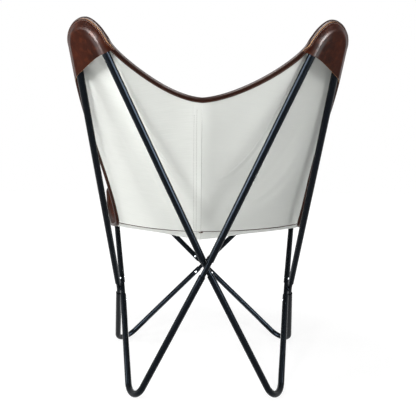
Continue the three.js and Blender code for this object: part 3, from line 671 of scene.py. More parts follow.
def hide(name, usual, dark, light):
    """Leather with clouds, mottles, pores and wrinkles, and a gloss that grows with the attribute taut."""
    made, tree, shader = material(name)
    place = add(tree, "ShaderNodeTexCoord")["Object"]
    cloud_mm, mottle_mm, pore_mm, wrinkle_mm = 70, 14, 2.2, 9
    cloud = add(tree, "ShaderNodeTexNoise", {"Vector": place, "Scale": 1 / (cloud_mm * MM), "Detail": 4})
    mottle = add(tree, "ShaderNodeTexNoise", {"Vector": place, "Scale": 1 / (mottle_mm * MM), "Detail": 6})
    # Real pores are about 0.3 mm apart: drawn coarser, so that they show
    pores = add(tree, "ShaderNodeTexVoronoi", {"Vector": place, "Scale": 1 / (pore_mm * MM)})
    wrinkles = add(
        tree,
        "ShaderNodeTexNoise",
        {"Vector": place, "Scale": 1 / (wrinkle_mm * MM), "Detail": 8, "Roughness": 0.62, "Distortion": 0.6},
    )
    depth = add(tree, "ShaderNodeMapRange", {"Value": cloud[0], "From Min": 0.34, "From Max": 0.62})
    base = add(tree, "ShaderNodeMix", {MIX_FACTOR: depth[0], MIX_A: dark, MIX_B: usual}, data_type="RGBA")
    pulled = add(
        tree,
        "ShaderNodeMapRange",
        {"Value": mottle[0], "From Min": 0.5, "From Max": 0.8, "To Max": 0.7},
    )
    tone = add(
        tree,
        "ShaderNodeMix",
        {MIX_FACTOR: pulled[0], MIX_A: base[MIX_RESULT], MIX_B: light},
        data_type="RGBA",
    )
    gloss = add(
        tree,
        "ShaderNodeMapRange",
        {"Value": wrinkles[0], "From Min": 0.3, "From Max": 0.7, "To Min": 0.28, "To Max": 0.38},
    )
    fine = add(tree, "ShaderNodeBump", {"Strength": 0.16, "Distance": 0.0004, "Height": pores["Distance"]})
    coarse = add(
        tree,
        "ShaderNodeBump",
        {"Strength": 0.22, "Distance": 0.0012, "Height": wrinkles[0], "Normal": fine[0]},
    )
    taut_at = add(tree, "ShaderNodeAttribute", attribute_name="taut")["Fac"]
    polish = add(tree, "ShaderNodeMapRange", {"Value": taut_at, "To Min": 0.03, "To Max": 0.36})
    look = {
        "Base Color": tone[MIX_RESULT],
        "Roughness": gloss[0],
        "Specular IOR Level": polish[0],
        "Normal": coarse[0],
    }
    plug(tree, shader, look)
    return made


def raw_leather_edge():
    """The cut through the hide: pale tan fibre with no wax on it."""
    made, tree, shader = material("raw leather edge")
    place = add(tree, "ShaderNodeTexCoord")["Object"]
    fibre_mm = 1.2
    fibre = add(tree, "ShaderNodeTexNoise", {"Vector": place, "Scale": 1 / (fibre_mm * MM), "Detail": 5})
    paler = add(tree, "ShaderNodeMapRange", {"Value": fibre[0], "To Min": 0.6, "To Max": 1.0})
    tone = add(
        tree,
        "ShaderNodeMix",
        {MIX_FACTOR: paler[0], MIX_A: finishes().leather_light, MIX_B: finishes().cut_edge},
        data_type="RGBA",
    )
    plug(tree, shader, {"Base Color": tone[MIX_RESULT], "Roughness": 0.8, "Specular IOR Level": 0.2})
    return made


def cotton_duck():
    """Plain-woven cotton duck, off-white: round threads over and under, with thick slubs in the weft, and
    painted shade that darkens the right panels.
    """
    made, tree, shader = material("cotton duck")
    flat = add(tree, "ShaderNodeUVMap", uv_map="flat")["UV"]
    # Real duck has a thread about every 0.7 mm: drawn coarser, so that the weave shows
    thread_mm, slub_mm, slub_length_mm, blotch_mm = 1.8, 1.8, 60, 110
    left_mm, right_mm = 12, -30  # from the centre seam to where a panel has its own side's colour
    turns = add(
        tree, "ShaderNodeVectorMath", {0: flat, "Scale": math.pi / (thread_mm * MM)}, operation="SCALE"
    )
    axes = add(tree, "ShaderNodeSeparateXYZ", {0: turns[0]})
    warp = add(tree, "ShaderNodeMath", {0: axes["X"]}, operation="SINE")[0]
    weft = add(tree, "ShaderNodeMath", {0: axes["Y"]}, operation="SINE")[0]
    over = add(tree, "ShaderNodeMath", {0: warp, 1: weft}, operation="MULTIPLY")[0]
    weave = add(tree, "ShaderNodeMapRange", {"Value": over, "From Min": -1.0, "From Max": 1.0})[0]
    stretch = add(
        tree,
        "ShaderNodeMapping",
        {"Vector": flat, "Scale": (1 / (slub_length_mm * MM), 1 / (slub_mm * MM), 1)},
    )
    slubs = add(tree, "ShaderNodeTexNoise", {"Vector": stretch[0], "Scale": 1.0, "Detail": 2})
    blotch = add(tree, "ShaderNodeTexNoise", {"Vector": flat, "Scale": 1 / (blotch_mm * MM), "Detail": 3})
    dips = add(
        tree,
        "ShaderNodeMapRange",
        {"Value": slubs[0], "From Min": 0.3, "From Max": 0.75, "To Min": 0.35, "To Max": 0.0},
    )
    # Painted shade: from the centre seam towards the right, the cloth is mixed into the darker colour of the
    # right panels
    side = add(tree, "ShaderNodeSeparateXYZ", {0: flat})["X"]
    right = add(
        tree,
        "ShaderNodeMapRange",
        {"Value": side, "From Min": left_mm * MM, "From Max": right_mm * MM},
        interpolation_type="SMOOTHSTEP",
    )[0]
    panel = add(
        tree,
        "ShaderNodeMix",
        {MIX_FACTOR: right, MIX_A: finishes().canvas, MIX_B: finishes().canvas_shaded_right},
        data_type="RGBA",
    )
    shaded = add(
        tree,
        "ShaderNodeMix",
        {MIX_FACTOR: dips[0], MIX_A: panel[MIX_RESULT], MIX_B: finishes().canvas_shade},
        data_type="RGBA",
    )
    grey = add(tree, "ShaderNodeMapRange", {"Value": blotch[0], "To Min": 0.95, "To Max": 1.03})[0]
    tone = add(tree, "ShaderNodeVectorMath", {0: shaded[MIX_RESULT], "Scale": grey}, operation="SCALE")
    threads = add(tree, "ShaderNodeBump", {"Strength": 0.1, "Distance": 0.0004, "Height": weave})
    thick = add(
        tree,
        "ShaderNodeBump",
        {"Strength": 0.12, "Distance": 0.0006, "Height": slubs[0], "Normal": threads[0]},
    )
    look = {
        "Base Color": tone[0],
        "Roughness": 0.92,
        "Specular IOR Level": 0.2,
        "Sheen Weight": 0.15,
        "Normal": thick[0],
    }
    plug(tree, shader, look)
    return made


def waxed_thread():
    """Twisted, waxed sewing thread: tan, with a dull gloss."""
    made, tree, shader = material("waxed thread")
    place = add(tree, "ShaderNodeTexCoord")["Object"]
    strand_mm = 1
    strand = add(tree, "ShaderNodeTexNoise", {"Vector": place, "Scale": 1 / (strand_mm * MM), "Detail": 2})
    tone = add(
        tree,
        "ShaderNodeMix",
        {MIX_FACTOR: strand[0], MIX_A: finishes().leather_light, MIX_B: finishes().thread},
        data_type="RGBA",
    )
    plug(tree, shader, {"Base Color": tone[MIX_RESULT], "Roughness": 0.6})
    return made


def cotton_thread():
    """Plain cotton sewing thread in the lining: off-white and dull."""
    made, tree, shader = material("cotton thread")
    plug(tree, shader, {"Base Color": finishes().cotton, "Roughness": 0.8, "Specular IOR Level": 0.2})
    return made


def once(maker):
    """The material that a maker makes, made the first time and found after that."""
    known = bpy.context.scene.get("chair_" + maker.__name__)
    if known is None:
        known = maker()
        bpy.context.scene["chair_" + maker.__name__] = known
    return known


# Frame shapes

CROSSINGS = {
    "back": (BACK_CROSS, np.array((0, 1, 0))),
    "front": (FRONT_CROSS, np.array((0, -1, 0))),
    "left": (SIDE_CROSS, np.array((1, 0, 0))),
    "right": (SIDE_CROSS * MIRROR, np.array((-1, 0, 0))),
}

# Each tube's bend or foot, and the rod that each of its legs is pushed on: 1 is a hub's outer rod
TUBES = {
    "back_peak_left": (BACK_PEAK, ("left", 1), ("back", -1)),
    "back_peak_right": (BACK_PEAK * MIRROR, ("right", 1), ("back", 1)),
    "front_peak_left": (FRONT_PEAK, ("left", -1), ("front", -1)),
    "front_peak_right": (FRONT_PEAK * MIRROR, ("right", -1), ("front", 1)),
    "back_foot_left": (BACK_FOOT, ("left", -1), ("back", 1)),
    "back_foot_right": (BACK_FOOT * MIRROR, ("right", -1), ("back", -1)),
    "front_foot_left": (FRONT_FOOT, ("left", 1), ("front", 1)),
    "front_foot_right": (FRONT_FOOT * MIRROR, ("right", 1), ("front", -1)),
}


def rod_radius():
    sizes = frame_sizes()
    return sizes.tube / 2 - sizes.wall - sizes.rod_clearance


def rod_point(crossing, layer):
    middle, outside = CROSSINGS[crossing]
    return middle + outside * layer * (rod_radius() - frame_sizes().weld_bite / 2)


def tube_bend(name):
    """A tube's bend, between the rods that its two legs are pushed on."""
    sizes = frame_sizes()
    centre, side, middle = TUBES[name]
    ends = rod_point(*side), rod_point(*middle)
    if "peak" in name:
        return Bend(*ends, centre, sizes.peak_bend)
    centre = centre + (0, 0, sizes.foot_bend)
    for _ in range(FOOT_PASSES):
        lean = Bend(*ends, centre, sizes.foot_bend).axis[2]
        centre[2] = sizes.foot_bend * math.sqrt(1 - lean**2) + sizes.tube / 2 - sizes.foot_flat
    return Bend(*ends, centre, sizes.foot_bend)


def legs_of(name):
    """For each leg of a tube: its hub, the layer of its rod, the rod's point and the leg's direction."""
    bend = tube_bend(name)
    ways = bend.tangent(0), -bend.tangent(1)
    return [(*key, rod_point(*key), way) for key, way in zip(TUBES[name][1:], ways)]


def add_tubes():
    sizes = frame_sizes()
    tree = swept_tree()
    shares = np.linspace(0, 1, sizes.bend_steps + 1)
    for name in TUBES:
        bend = tube_bend(name)
        start = bend.first + bend.tangent(0) * sizes.setback
        end = bend.second - bend.tangent(1) * sizes.setback
        path = np.vstack((start, bend.point(shares), end))
        values = {
            "Radius": sizes.tube / 2,
            "Wall": sizes.wall,
            "Sides": sizes.tube_sides,
            "Solid": False,
            "Finish": once(powder_coat),
        }
        mesh = grown("tube_" + name, polyline_mesh(name, [path]), tree, values)
        places = np.empty(len(mesh.vertices) * 3, np.float32)
        mesh.vertices.foreach_get("co", places)
        places[2::3] = np.maximum(places[2::3], 0)
        mesh.vertices.foreach_set("co", places)
        mesh.set_sharp_from_angle(angle=math.radians(STEEL_SHARP))
        node = name.replace("_peak", "_peak_tube").replace("_foot", "_foot_tube")
        keep(shown_object("tube_" + name, mesh), "black_steel", node)


def weld_line(crossing, ways):
    """The closed line in the crevice between a hub's two rods, given the rods' directions."""
    middle, outside = CROSSINGS[crossing]
    radius, apart = rod_radius(), 2 * (rod_radius() - frame_sizes().weld_bite / 2)
    seat = frame_sizes().weld_bead * 0.35  # the gap in which a ripple comes to lie
    level = [unit(way - outside * (way @ outside)) for way in ways]
    first = unit(level[0] + level[1])
    second = np.cross(outside, first)
    reach = np.linspace(0, radius, 60)
    line = []
    for angle in np.linspace(0, math.tau, 48, endpoint=False):
        way = first * math.cos(angle) + second * math.sin(angle)
        sides = [np.linalg.norm(np.cross(way, one)) for one in level]
        drops = [np.sqrt(np.maximum(radius**2 - (reach * side) ** 2, 0)) for side in sides]
        gap = apart - drops[0] - drops[1]
        out = np.interp(seat, gap, reach) if gap[-1] > gap[0] else radius
        lift = (np.interp(out, reach, drops[1]) - np.interp(out, reach, drops[0])) / 2
        line.append(middle + way * min(out, radius) + outside * lift)
    return line


def add_hubs():
    sizes = frame_sizes()
    sweep, beads = swept_tree(), beads_tree()
    rod_sides, turn_steps = 24, 9
    arms = {key: {1: [], -1: []} for key in CROSSINGS}
    for name in TUBES:
        for crossing, layer, point, way in legs_of(name):
            arms[crossing][layer].append((point, way))
    for crossing, layers in arms.items():
        paths = []
        for (point, first), (_, second) in layers.values():
            near = [point + way * sizes.rod_bend for way in (first, second)]
            handles = [lerp(place, point, 2 / 3) for place in near]
            turn = bezier((near[0], *handles, near[1]), np.linspace(0, 1, turn_steps))
            ends = [point + way * sizes.rod_reach for way in (first, second)]
            paths.append(np.vstack((ends[0], turn, ends[1])))
        name = "hub_" + crossing
        bars = grown(
            name,
            polyline_mesh(name, paths),
            sweep,
            {"Radius": rod_radius(), "Sides": rod_sides, "Solid": True, "Finish": once(powder_coat)},
        )
        ways = [layers[layer][0][1] for layer in (1, -1)]
        weld = grown(
            name + "_weld",
            polyline_mesh(name, [weld_line(crossing, ways)], cyclic=True),
            beads,
            {"Radius": sizes.weld_bead / 2, "Pitch": sizes.weld_pitch, "Finish": once(powder_coat)},
        )
        bars.set_sharp_from_angle(angle=math.radians(STEEL_SHARP))
        keep(shown_object(name, bars), "black_steel", "cross_joint_" + crossing)
        keep(shown_object(name + "_weld", weld), "black_steel")


def screw_mesh():
    """One button-head screw along +Z, with a hexagon socket, seated at the origin."""
    sizes = frame_sizes()
    head, rise, socket = sizes.screw_head / 2, sizes.screw_rise, sizes.screw_socket / 2
    rings = [(head, -0.3 * MM), (head, 0.25 * rise), (0.9 * head, 0.62 * rise), (0.66 * head, 0.93 * rise)]
    rings += [(1.12 * socket, rise), (socket, 0.96 * rise), (socket, 0.35 * rise)]
    sides = 12
    turns = np.linspace(0, math.tau, sides, endpoint=False)
    points = [(0, 0, -0.3 * MM)]
    for k, (radius, height) in enumerate(rings):
        hexed = np.cos(math.pi / 6) / np.cos((turns % (math.pi / 3)) - math.pi / 6)
        reach = radius * (hexed if k >= len(rings) - 2 else np.ones(sides))
        points += list(zip(reach * np.cos(turns), reach * np.sin(turns), np.full(sides, height)))
    points.append((0, 0, 0.3 * rise))
    faces = [(0, 1 + (k + 1) % sides, 1 + k) for k in range(sides)]
    faces += [tuple(f) for f in loop_faces(len(rings), sides, 1)]
    last = 1 + (len(rings) - 1) * sides
    faces += [(last + k, last + (k + 1) % sides, len(points) - 1) for k in range(sides)]
    mesh = bpy.data.meshes.new("screw")
    mesh.from_pydata(points, [], faces)
    return mesh


def add_screws():
    sizes = frame_sizes()
    seats, axes, nodes = [], [], []
    for name in TUBES:
        for (crossing, _, point, way), end in zip(legs_of(name), ("side", "middle")):
            inside = -CROSSINGS[crossing][1]
            axis = unit(inside - way * (inside @ way))
            seats.append(point + way * sizes.screw_place + axis * sizes.tube / 2)
            axes.append(axis)
            nodes.append(f"screw_{name}_{end}")
    guide = polyline_mesh("screws", [])
    guide.from_pydata([tuple(s) for s in seats], [], [])
    guide.attributes.new("axis", "FLOAT_VECTOR", "POINT").data.foreach_set("vector", np.ravel(axes))
    mesh = screw_mesh()
    work = bmesh.new()
    work.from_mesh(mesh)
    bmesh.ops.recalc_face_normals(work, faces=work.faces)
    work.to_mesh(mesh)
    work.free()
    pattern = shown_object("screw_pattern", mesh)
    made = grown("screws", guide, screw_tree(), {"Screw": pattern, "Finish": once(zinc_plate)})
    bpy.data.objects.remove(pattern)
    made.set_sharp_from_angle(angle=math.radians(SCREW_SHARP))
    keep(shown_object("screws", made), "zinc", *nodes)


# Sling shapes


class Wing:
    """Edge of a quarter of the sling: from the fold, up the side, round the peak and down to the middle.

    The drop from the bend to the pocket's mouth and the reaches of the curves are in millimetres.
    """

    def __init__(self, bend, drop, fold_handle, side_reach, middle, rim_reach, rim_handle):
        sizes, frame_size = sling_sizes(), frame_sizes()
        self.bend = bend
        self.facing = bend.axis if bend.axis @ (SITTER - bend.centre) > 0 else -bend.axis

        def round_peak(share):
            share = np.asarray(share, float)
            margin = lerp(sizes.side_margin, sizes.inner_margin, share) - through(PEAK_TUCK, share) * MM
            reach = bend.radius + frame_size.tube / 2 + margin
            return bend.point(share, reach) + self.facing * sizes.edge_rise

        down = unit(bend.first - bend.point(0))
        start, end = round_peak(0), round_peak(1)
        mouth = start + down * drop * MM
        side = (FOLD_SIDE, FOLD_SIDE + fold_handle, mouth + down * side_reach * MM, mouth)
        rim = (end, end + bend.tangent(1) * rim_reach * MM, middle + rim_handle, middle)
        fine = np.linspace(0, 1, 160)
        leg = lerp(mouth, start, fine[:, None])
        stretches = (
            (0, MOUTH_ROW, bezier(side, fine)),
            (MOUTH_ROW, BEND_ROW, leg),
            (BEND_ROW, RIM_ROW, round_peak(fine)),
            (RIM_ROW, HEM_ROW, bezier(rim, fine * POCKET_RIM_SHARE)),
            (HEM_ROW, LAST_ROW, bezier(rim, lerp(POCKET_RIM_SHARE, 1, fine))),
        )
        points = np.vstack([s[2][1:] if k else s[2] for k, s in enumerate(stretches)])
        lengths = lengths_along(points)
        ends = np.cumsum([len(s[2]) - (1 if k else 0) for k, s in enumerate(stretches)]) - 1
        self.points, self.lengths = points, lengths
        self.knots = [(0.0, 0.0)] + [(lengths[e], s[1]) for e, s in zip(ends, stretches)]

    def edge(self, places):
        return resampled(self.points, self.lengths, places)

    def rows(self, places):
        return through(self.knots, places)

    def place(self, row):
        """Distance along the edge to a row."""
        lengths, rows = zip(*self.knots)
        if row in rows:
            return lengths[rows.index(row)]
        fine = np.linspace(0, lengths[-1], 4000)
        return float(np.interp(row, self.rows(fine), fine))


# The row about which the hang is evened out, how many rows that reaches, how often it is done, and the
# share at each end of a strip over which that fades out
RELAX_ROW, RELAX_SPREAD, RELAX_PASSES, RELAX_FADE = 7, 3, 400, 0.25

# Rows of a quarter's grid beside the fold, in millimetres from it, and how many each stretch of the edge has
FOLD_ROWS = np.array((0, 0.5, 1, 1.6, 2.4, 3.4, 4.8, 6.5, 9, 12, 16))
STRETCH_ROWS = 52, 12, 44, 5, 60

# Columns beside the centre seam, in millimetres from it, and how many there are from there to the edge
SEAM_COLUMNS = np.array((0, 0.6, 1.2, 2, 3, 5, 8, 11, 14, 17, 19.4, 20.4, 21.2, 22.2, 26))
WING_COLUMNS = 30

# The centre seam's ridge grows over the first stretch from the fold, and as the strips grow longer than
# the shortest, in millimetres
RIDGE_GROWTH, RIDGE_SHORTEST, RIDGE_STRIP_GROWTH = 50, 40, 120


class Quarter:
    """A quarter of the sling, midway between leather and lining, as a grid of strips from seam to edge."""

    def __init__(self, wing, middle):
        self.wing = wing
        near_fold = FOLD_ROWS * MM
        ends = map(wing.place, (MOUTH_ROW, BEND_ROW, RIM_ROW, HEM_ROW, LAST_ROW))
        self.places = np.concatenate((near_fold[:-1], runs((near_fold[-1], *ends), STRETCH_ROWS)))
        rows = wing.rows(self.places)
        seam_knots = [(wing.place(row), share) for row, share in SEAM_KNOTS]
        hearts = bezier(middle, through(seam_knots, self.places))
        edges = wing.edge(self.places)
        reach = np.linalg.norm(edges - hearts, axis=-1)
        seam_side = SEAM_COLUMNS * MM
        spread = np.linspace(0, 1, WING_COLUMNS)[1:]
        shares = []
        for length in reach:
            near = seam_side * min(1, length / (3 * seam_side[-1])) / max(length, 1e-9)
            shares.append(np.concatenate((near, lerp(near[-1], 1, spread))))
        self.shares = np.array(shares)
        self.points = self.surface(hearts, edges, rows)

    def surface(self, hearts, edges, rows):
        s = self.shares[..., None]
        half_gap = sling_sizes().layer_gap / 2
        across = lerp(half_gap, np.maximum(edges[:, :1], half_gap)[:, None], s)
        hang = lerp(hearts[:, None, 1:], edges[:, None, 1:], s**HAMMOCK)
        points = np.concatenate((across, hang), axis=-1)
        points = self.relaxed(points, rows)
        self.normals = self.square_to(points)
        reach = np.linalg.norm(edges - hearts, axis=-1)[:, None]
        ridge = sling_sizes().seam_ridge * np.exp(-self.shares * reach / sling_sizes().seam_spread)
        ridge = ridge * smooth(self.places / (RIDGE_GROWTH * MM))[:, None]
        ridge = ridge * smooth((reach - RIDGE_SHORTEST * MM) / (RIDGE_STRIP_GROWTH * MM))
        lift = creases(rows[:, None], self.shares) - ridge
        points = points + self.normals * lift[..., None]
        self.normals = self.square_to(points)
        return points

    def relaxed(self, points, rows):
        """The hang evened out where the strips turn from the side to the peak, as stretched cloth is."""
        where = np.exp(-(((rows - RELAX_ROW) / RELAX_SPREAD) ** 2))[:, None]
        where = where * smooth((1 - self.shares) / RELAX_FADE) * smooth(self.shares / RELAX_FADE)
        normals = self.square_to(points)
        for _ in range(RELAX_PASSES):
            move = ((softened(points, 1) - points) * normals).sum(-1) * where
            points = points + normals * move[..., None]
        return points

    def square_to(self, points):
        """Unit normals on the sitter's side."""
        around = np.gradient(points, axis=0)
        inward = np.gradient(points, axis=1)
        normals = np.cross(around, inward)
        normals[-1] = normals[-2]
        normals = unit(normals)
        return np.where((normals @ self.wing.facing)[..., None] < 0, -normals, normals)

    def from_fold(self):
        """Distance of each point from the fold seam, along the cloth."""
        return lengths_along(self.points)

    def from_seam(self):
        """Distance of each point from the centre seam, along its strip."""
        return lengths_along(self.points.swapaxes(0, 1)).T

    def flat(self):
        """The cloth laid flat: distance across from the centre seam, and along it."""
        seam = np.gradient(self.points[:, 0], axis=0)
        seam = unit(seam)[:, None]
        steps = np.diff(self.points, axis=1)
        up = (steps * seam).sum(-1)
        across = np.sqrt(np.maximum((steps**2).sum(-1) - up**2, 0))
        zero = np.zeros((len(self.points), 1))
        along = lengths_along(self.points[:, 0])[:, None]
        u = np.concatenate((zero, np.cumsum(across, axis=1)), axis=1)
        v = along + np.concatenate((zero, np.cumsum(up, axis=1)), axis=1)
        return np.stack((u, v), axis=-1)


# Creases that leave a peak and fade towards the middle: rows from the peak's tip, spread, share of the depth
CREASES = ((-5, 1.8, 0.1), (0, 2.4, -0.1), (4.4, 1.7, 1.0))
RIPPLES = (
    (-7.6, 0.55, 1.0),
    (-6.4, 0.5, -0.8),
    (-3.1, 0.5, 0.8),
    (2.4, 0.6, 0.9),
    (3.8, 0.6, -0.8),
    (5.6, 0.7, 0.8),
)


def creases(row, share):
    """Height of the soft creases and pull lines, zero at the centre seam and at the edge."""
    sizes = sling_sizes()
    height = 0
    for depth, lines in ((sizes.crease, CREASES), (sizes.ripple, RIPPLES)):
        for place, spread, part in lines:
            height = height + depth * part * np.exp(-(((row - TIP_ROW - place) / spread) ** 2))
    return height * np.sin(math.pi * share) ** 2


class Sling:
    """The two quarters of the left side, and the heights of the layers' faces."""

    def __init__(self):
        sizes = sling_sizes()
        self.back = Quarter(
            Wing(
                tube_bend_free(BACK_CROSS, BACK_PEAK),
                drop=74,
                fold_handle=by(9, 75, 129),
                side_reach=130,
                middle=TOP_MIDDLE,
                rim_reach=30,
                rim_handle=by(82, -1.5, 5.5),
            ),
            (FOLD_MIDDLE, FOLD_MIDDLE + by(0, 79, 76), TOP_MIDDLE + by(0, -60, -116), TOP_MIDDLE),
        )
        self.seat = Quarter(
            Wing(
                tube_bend_free(FRONT_CROSS, FRONT_PEAK),
                drop=50,
                fold_handle=by(28, -56, -31.5),
                side_reach=70,
                middle=FRONT_MIDDLE,
                rim_reach=20,
                rim_handle=by(110, 0, 0),
            ),
            (FOLD_MIDDLE, FOLD_MIDDLE + by(0, -70, -52), FRONT_MIDDLE + by(0, 120, -64), FRONT_MIDDLE),
        )
        self.front_face = sizes.layer_gap / 2 + sizes.leather
        self.rear_face = -sizes.layer_gap / 2 - sizes.canvas
        mitre = unit(self.back.normals[0] + self.seat.normals[0])
        for quarter in (self.back, self.seat):
            near = 1 - smooth(quarter.from_fold() / sizes.fold_round)[..., None]
            quarter.normals = unit(lerp(quarter.normals, mitre[None], near))
            away = unit(quarter.points[1] - quarter.points[0])
            quarter.points[0] += away * sizes.layer_gap / 2


def tube_bend_free(cross, peak):
    """A peak's bend drawn between the middles of its two crossings, as the sling hangs on it."""
    return Bend(SIDE_CROSS, cross, peak, frame_sizes().peak_bend)


def the_sling():
    """The sling's shapes, worked out once."""
    if not hasattr(the_sling, "made"):
        the_sling.made = Sling()
    return the_sling.made


def slipped(points):
    """Points of the sling as it hangs: its middle slipped to one side, its right side further out."""
    sizes = sling_sizes()
    points = np.array(points)
    x, y, z = np.moveaxis(points, -1, 0)
    level = 1 - smooth(np.abs(z - SPREAD_HEIGHT * MM) / (SPREAD_REACH * MM))
    behind = smooth((y - SPREAD_END * MM) / (SPREAD_FADE * MM))
    out = level * behind * smooth(-x / (FOLD_SIDE[0] * SPREAD_SIDE))
    slip = sizes.slip * (1 - smooth(np.abs(x) / (SLIP_REACH * MM)))
    points[..., 0] = x + slip - sizes.spread * out
    return points


def sheet_piece(name, quarter, near, far, hand, finish):
    """A closed panel between two heights over the quarter's middle face, for one side of the chair."""
    lower = quarter.points + quarter.normals * near[..., None]
    upper = quarter.points + quarter.normals * far[..., None]
    points, faces = two_grids(lower, upper, grid_outline(*lower.shape[:2]))
    flat = np.concatenate((quarter.flat().reshape(-1, 2),) * 2) * (hand, 1)
    return closed_piece(name, slipped(points * (hand, 1, 1)), faces, [finish], flat=flat)


def grooves(quarter):
    """How far the leather's face is drawn in along the centre seam and the fold seam."""
    sizes = sling_sizes()
    edge = np.minimum(quarter.from_fold(), quarter.from_seam())
    return sizes.groove_depth * (1 - smooth(edge / (sizes.groove / 2)))


def felled(quarter, hand, folded):
    """How far the lining stands up at the felled centre seam and the turned edge along the fold."""
    sizes = sling_sizes()
    seam, fold = quarter.from_seam(), quarter.from_fold()
    fell_step, turned, turned_step, rounding = 1.2 * MM, 6 * MM, 2 * MM, 1.6 * MM
    rise = 0 * seam
    if hand > 0:
        rise = sizes.fell_rise * (1 - smooth((seam - sizes.fell + 1 * MM) / fell_step))
    if folded:
        rise = rise + 0.5 * sizes.fell_rise * (1 - smooth((fold - turned) / turned_step))
    round_off = 1 - smooth(np.minimum(fold / rounding, 1))
    return rise - round_off * (rise + 0.5 * sizes.canvas)


def add_leather():
    sling, sizes = the_sling(), sling_sizes()
    for part in ("back", "seat"):
        quarter = getattr(sling, part)
        near = np.full(quarter.shares.shape, sizes.layer_gap / 2)
        far = sling.front_face - grooves(quarter)
        for side, hand in SIDES.items():
            piece = sheet_piece(f"{part}_leather_{side}", quarter, near, far, hand, once(waxed_leather))
            keep(piece, "leather", f"leather_{part}_{side}")


def add_lining():
    sling, sizes = the_sling(), sling_sizes()
    for part in ("back", "seat"):
        quarter = getattr(sling, part)
        near = np.full(quarter.shares.shape, -sizes.layer_gap / 2)
        for side, hand in SIDES.items():
            far = sling.rear_face - felled(quarter, hand, part == "back")
            piece = sheet_piece(f"{part}_lining_{side}", quarter, near, far, hand, once(cotton_duck))
            keep(piece, "canvas", f"lining_{part}_{side}")


class EdgeLine:
    """A stretch of the sling's edge: points, the way out from the cloth, and normals on the sitter's side."""

    def __init__(self, points, normals):
        self.points = points
        tangents = unit(softened(unit(np.gradient(points, axis=0)), 2))
        normals = unit(softened(normals, 2))
        self.normals = unit(normals - tangents * (normals * tangents).sum(-1, keepdims=True))
        self.outs = np.cross(tangents, self.normals)

    def facing_out(self, inside):
        """Turns the ways out so that they lead away from points inside the cloth."""
        wrong = ((inside - self.points) * self.outs).sum() > 0
        self.outs = -self.outs if wrong else self.outs
        return self

    def offset(self, out, height):
        return self.points + self.outs * out + self.normals * height


def edge_values(quarter, places):
    """Edge points, normals there and points a little inside, at places along a quarter's edge."""
    normals = resampled(quarter.normals[:, -1], quarter.places, places)
    inside = resampled(quarter.points[:, -4], quarter.places, places)
    return quarter.wing.edge(places), normals, inside


def rim_line(quarter):
    """The rim from the left tip over the middle to the right tip."""
    places = np.linspace(quarter.wing.place(TIP_ROW), quarter.wing.place(LAST_ROW), 170)
    halves = edge_values(quarter, places)
    points, normals, inside = (np.concatenate((h[:-1], (h * MIRROR)[-2::-1])) for h in halves)
    return EdgeLine(points, normals).facing_out(inside)


def side_line(sling):
    """The left side from the back's tip down to the fold and on to the seat's tip, eased at the fold."""
    steps = 150
    parts = []
    for quarter in (sling.back, sling.seat):
        parts.append(edge_values(quarter, np.linspace(0, quarter.wing.place(TIP_ROW), steps)))
    joined = (np.concatenate((b[::-1], s[1:])) for b, s in zip(*parts))
    points, normals, inside = joined
    near, far = slice(steps - 15, steps + 15), slice(steps - 25, steps + 25)
    points[near] = softened(points[near], 6)
    normals[far] = softened(normals[far], 12)
    return EdgeLine(points, normals).facing_out(inside)


def binding_section(sling):
    """The folded strip's section, once round, as steps out from the edge and heights."""
    sizes = sling_sizes()
    thick, lap, close = sizes.binding_leather, sizes.binding, 0.12 * MM
    front, rear = sling.front_face + close, sling.rear_face - close
    middle, inner = (front + rear) / 2, (front - rear) / 2
    outer = inner + thick
    sink, swell, seam = 0.35 * MM, 0.35 * MM, 2 * MM
    lap_line = [(-lap, 0.25 * thick), (-lap + 0.25 * MM, 0.8 * thick), (-lap + 0.7 * MM, thick)]
    lap_line += [(-lap + 1.3 * MM, thick), (-lap + seam, thick - sink), (-lap + 2.7 * MM, thick)]
    lap_line += [(-0.45 * lap, thick + swell), (-0.25 * lap, thick + 1.2 * swell)]
    turns = np.linspace(math.pi / 2, -math.pi / 2, 13)
    full = outer + swell
    around = [(full * math.cos(a), middle + full * math.sin(a)) for a in turns]
    section = [(out, front + height) for out, height in lap_line] + around
    section += [(out, rear - height) for out, height in lap_line[::-1]]
    inside = [(-lap, rear), (-0.5 * lap, rear), (0, rear)]
    inside += [(0.6 * inner, middle - 0.7 * inner), (inner, middle)]
    section += inside + [(out, 2 * middle - height) for out, height in inside[-2::-1]]
    return section


def swept_section(line, section, hand=1):
    """Points and faces of a closed strip with one section along an edge line."""
    rings = np.stack([line.offset(out, height) for out, height in section], axis=1)
    rows, around = rings.shape[:2]
    faces = list(loop_faces(rows, around))
    faces += [tuple(range(around)), tuple(range((rows - 1) * around, rows * around))[::-1]]
    return slipped(rings.reshape(-1, 3) * (hand, 1, 1)), faces


# How far the outer round of the fold is rubbed glossy
RUBBED = 0.4


def add_binding():
    sling = the_sling()
    section = binding_section(sling)
    lines = {
        "top": (rim_line(sling.back), 1),
        "front": (rim_line(sling.seat), 1),
        "left": (side_line(sling), 1),
        "right": (side_line(sling), -1),
    }
    for name, (line, hand) in lines.items():
        points, faces = swept_section(line, section, hand)
        rubbed = np.tile([RUBBED * (out > 0) for out, _ in section], len(line.points))
        piece = closed_piece(f"edge_binding_{name}", points, faces, [once(binding_leather)], taut_at=rubbed)
        keep(piece, "leather", f"binding_{name}")
    add_piping()


def add_piping():
    """The cord of leather in the fold seam, seen from behind."""
    sling, sizes = the_sling(), sling_sizes()
    half = sling.back.points[0] + sling.back.normals[0] * (sling.rear_face - 0.1 * sizes.piping)
    straight = 4  # columns beside the centre seam, which it runs straight over
    half = half[straight:-1]
    path = slipped(np.vstack((half[::-1], half * MIRROR)))
    values = {"Radius": sizes.piping / 2, "Sides": 10, "Solid": True, "Finish": once(waxed_leather)}
    mesh = grown("fold_piping", polyline_mesh("fold_piping", [path]), swept_tree(), values)
    keep(shown_object("fold_piping", mesh), "leather")


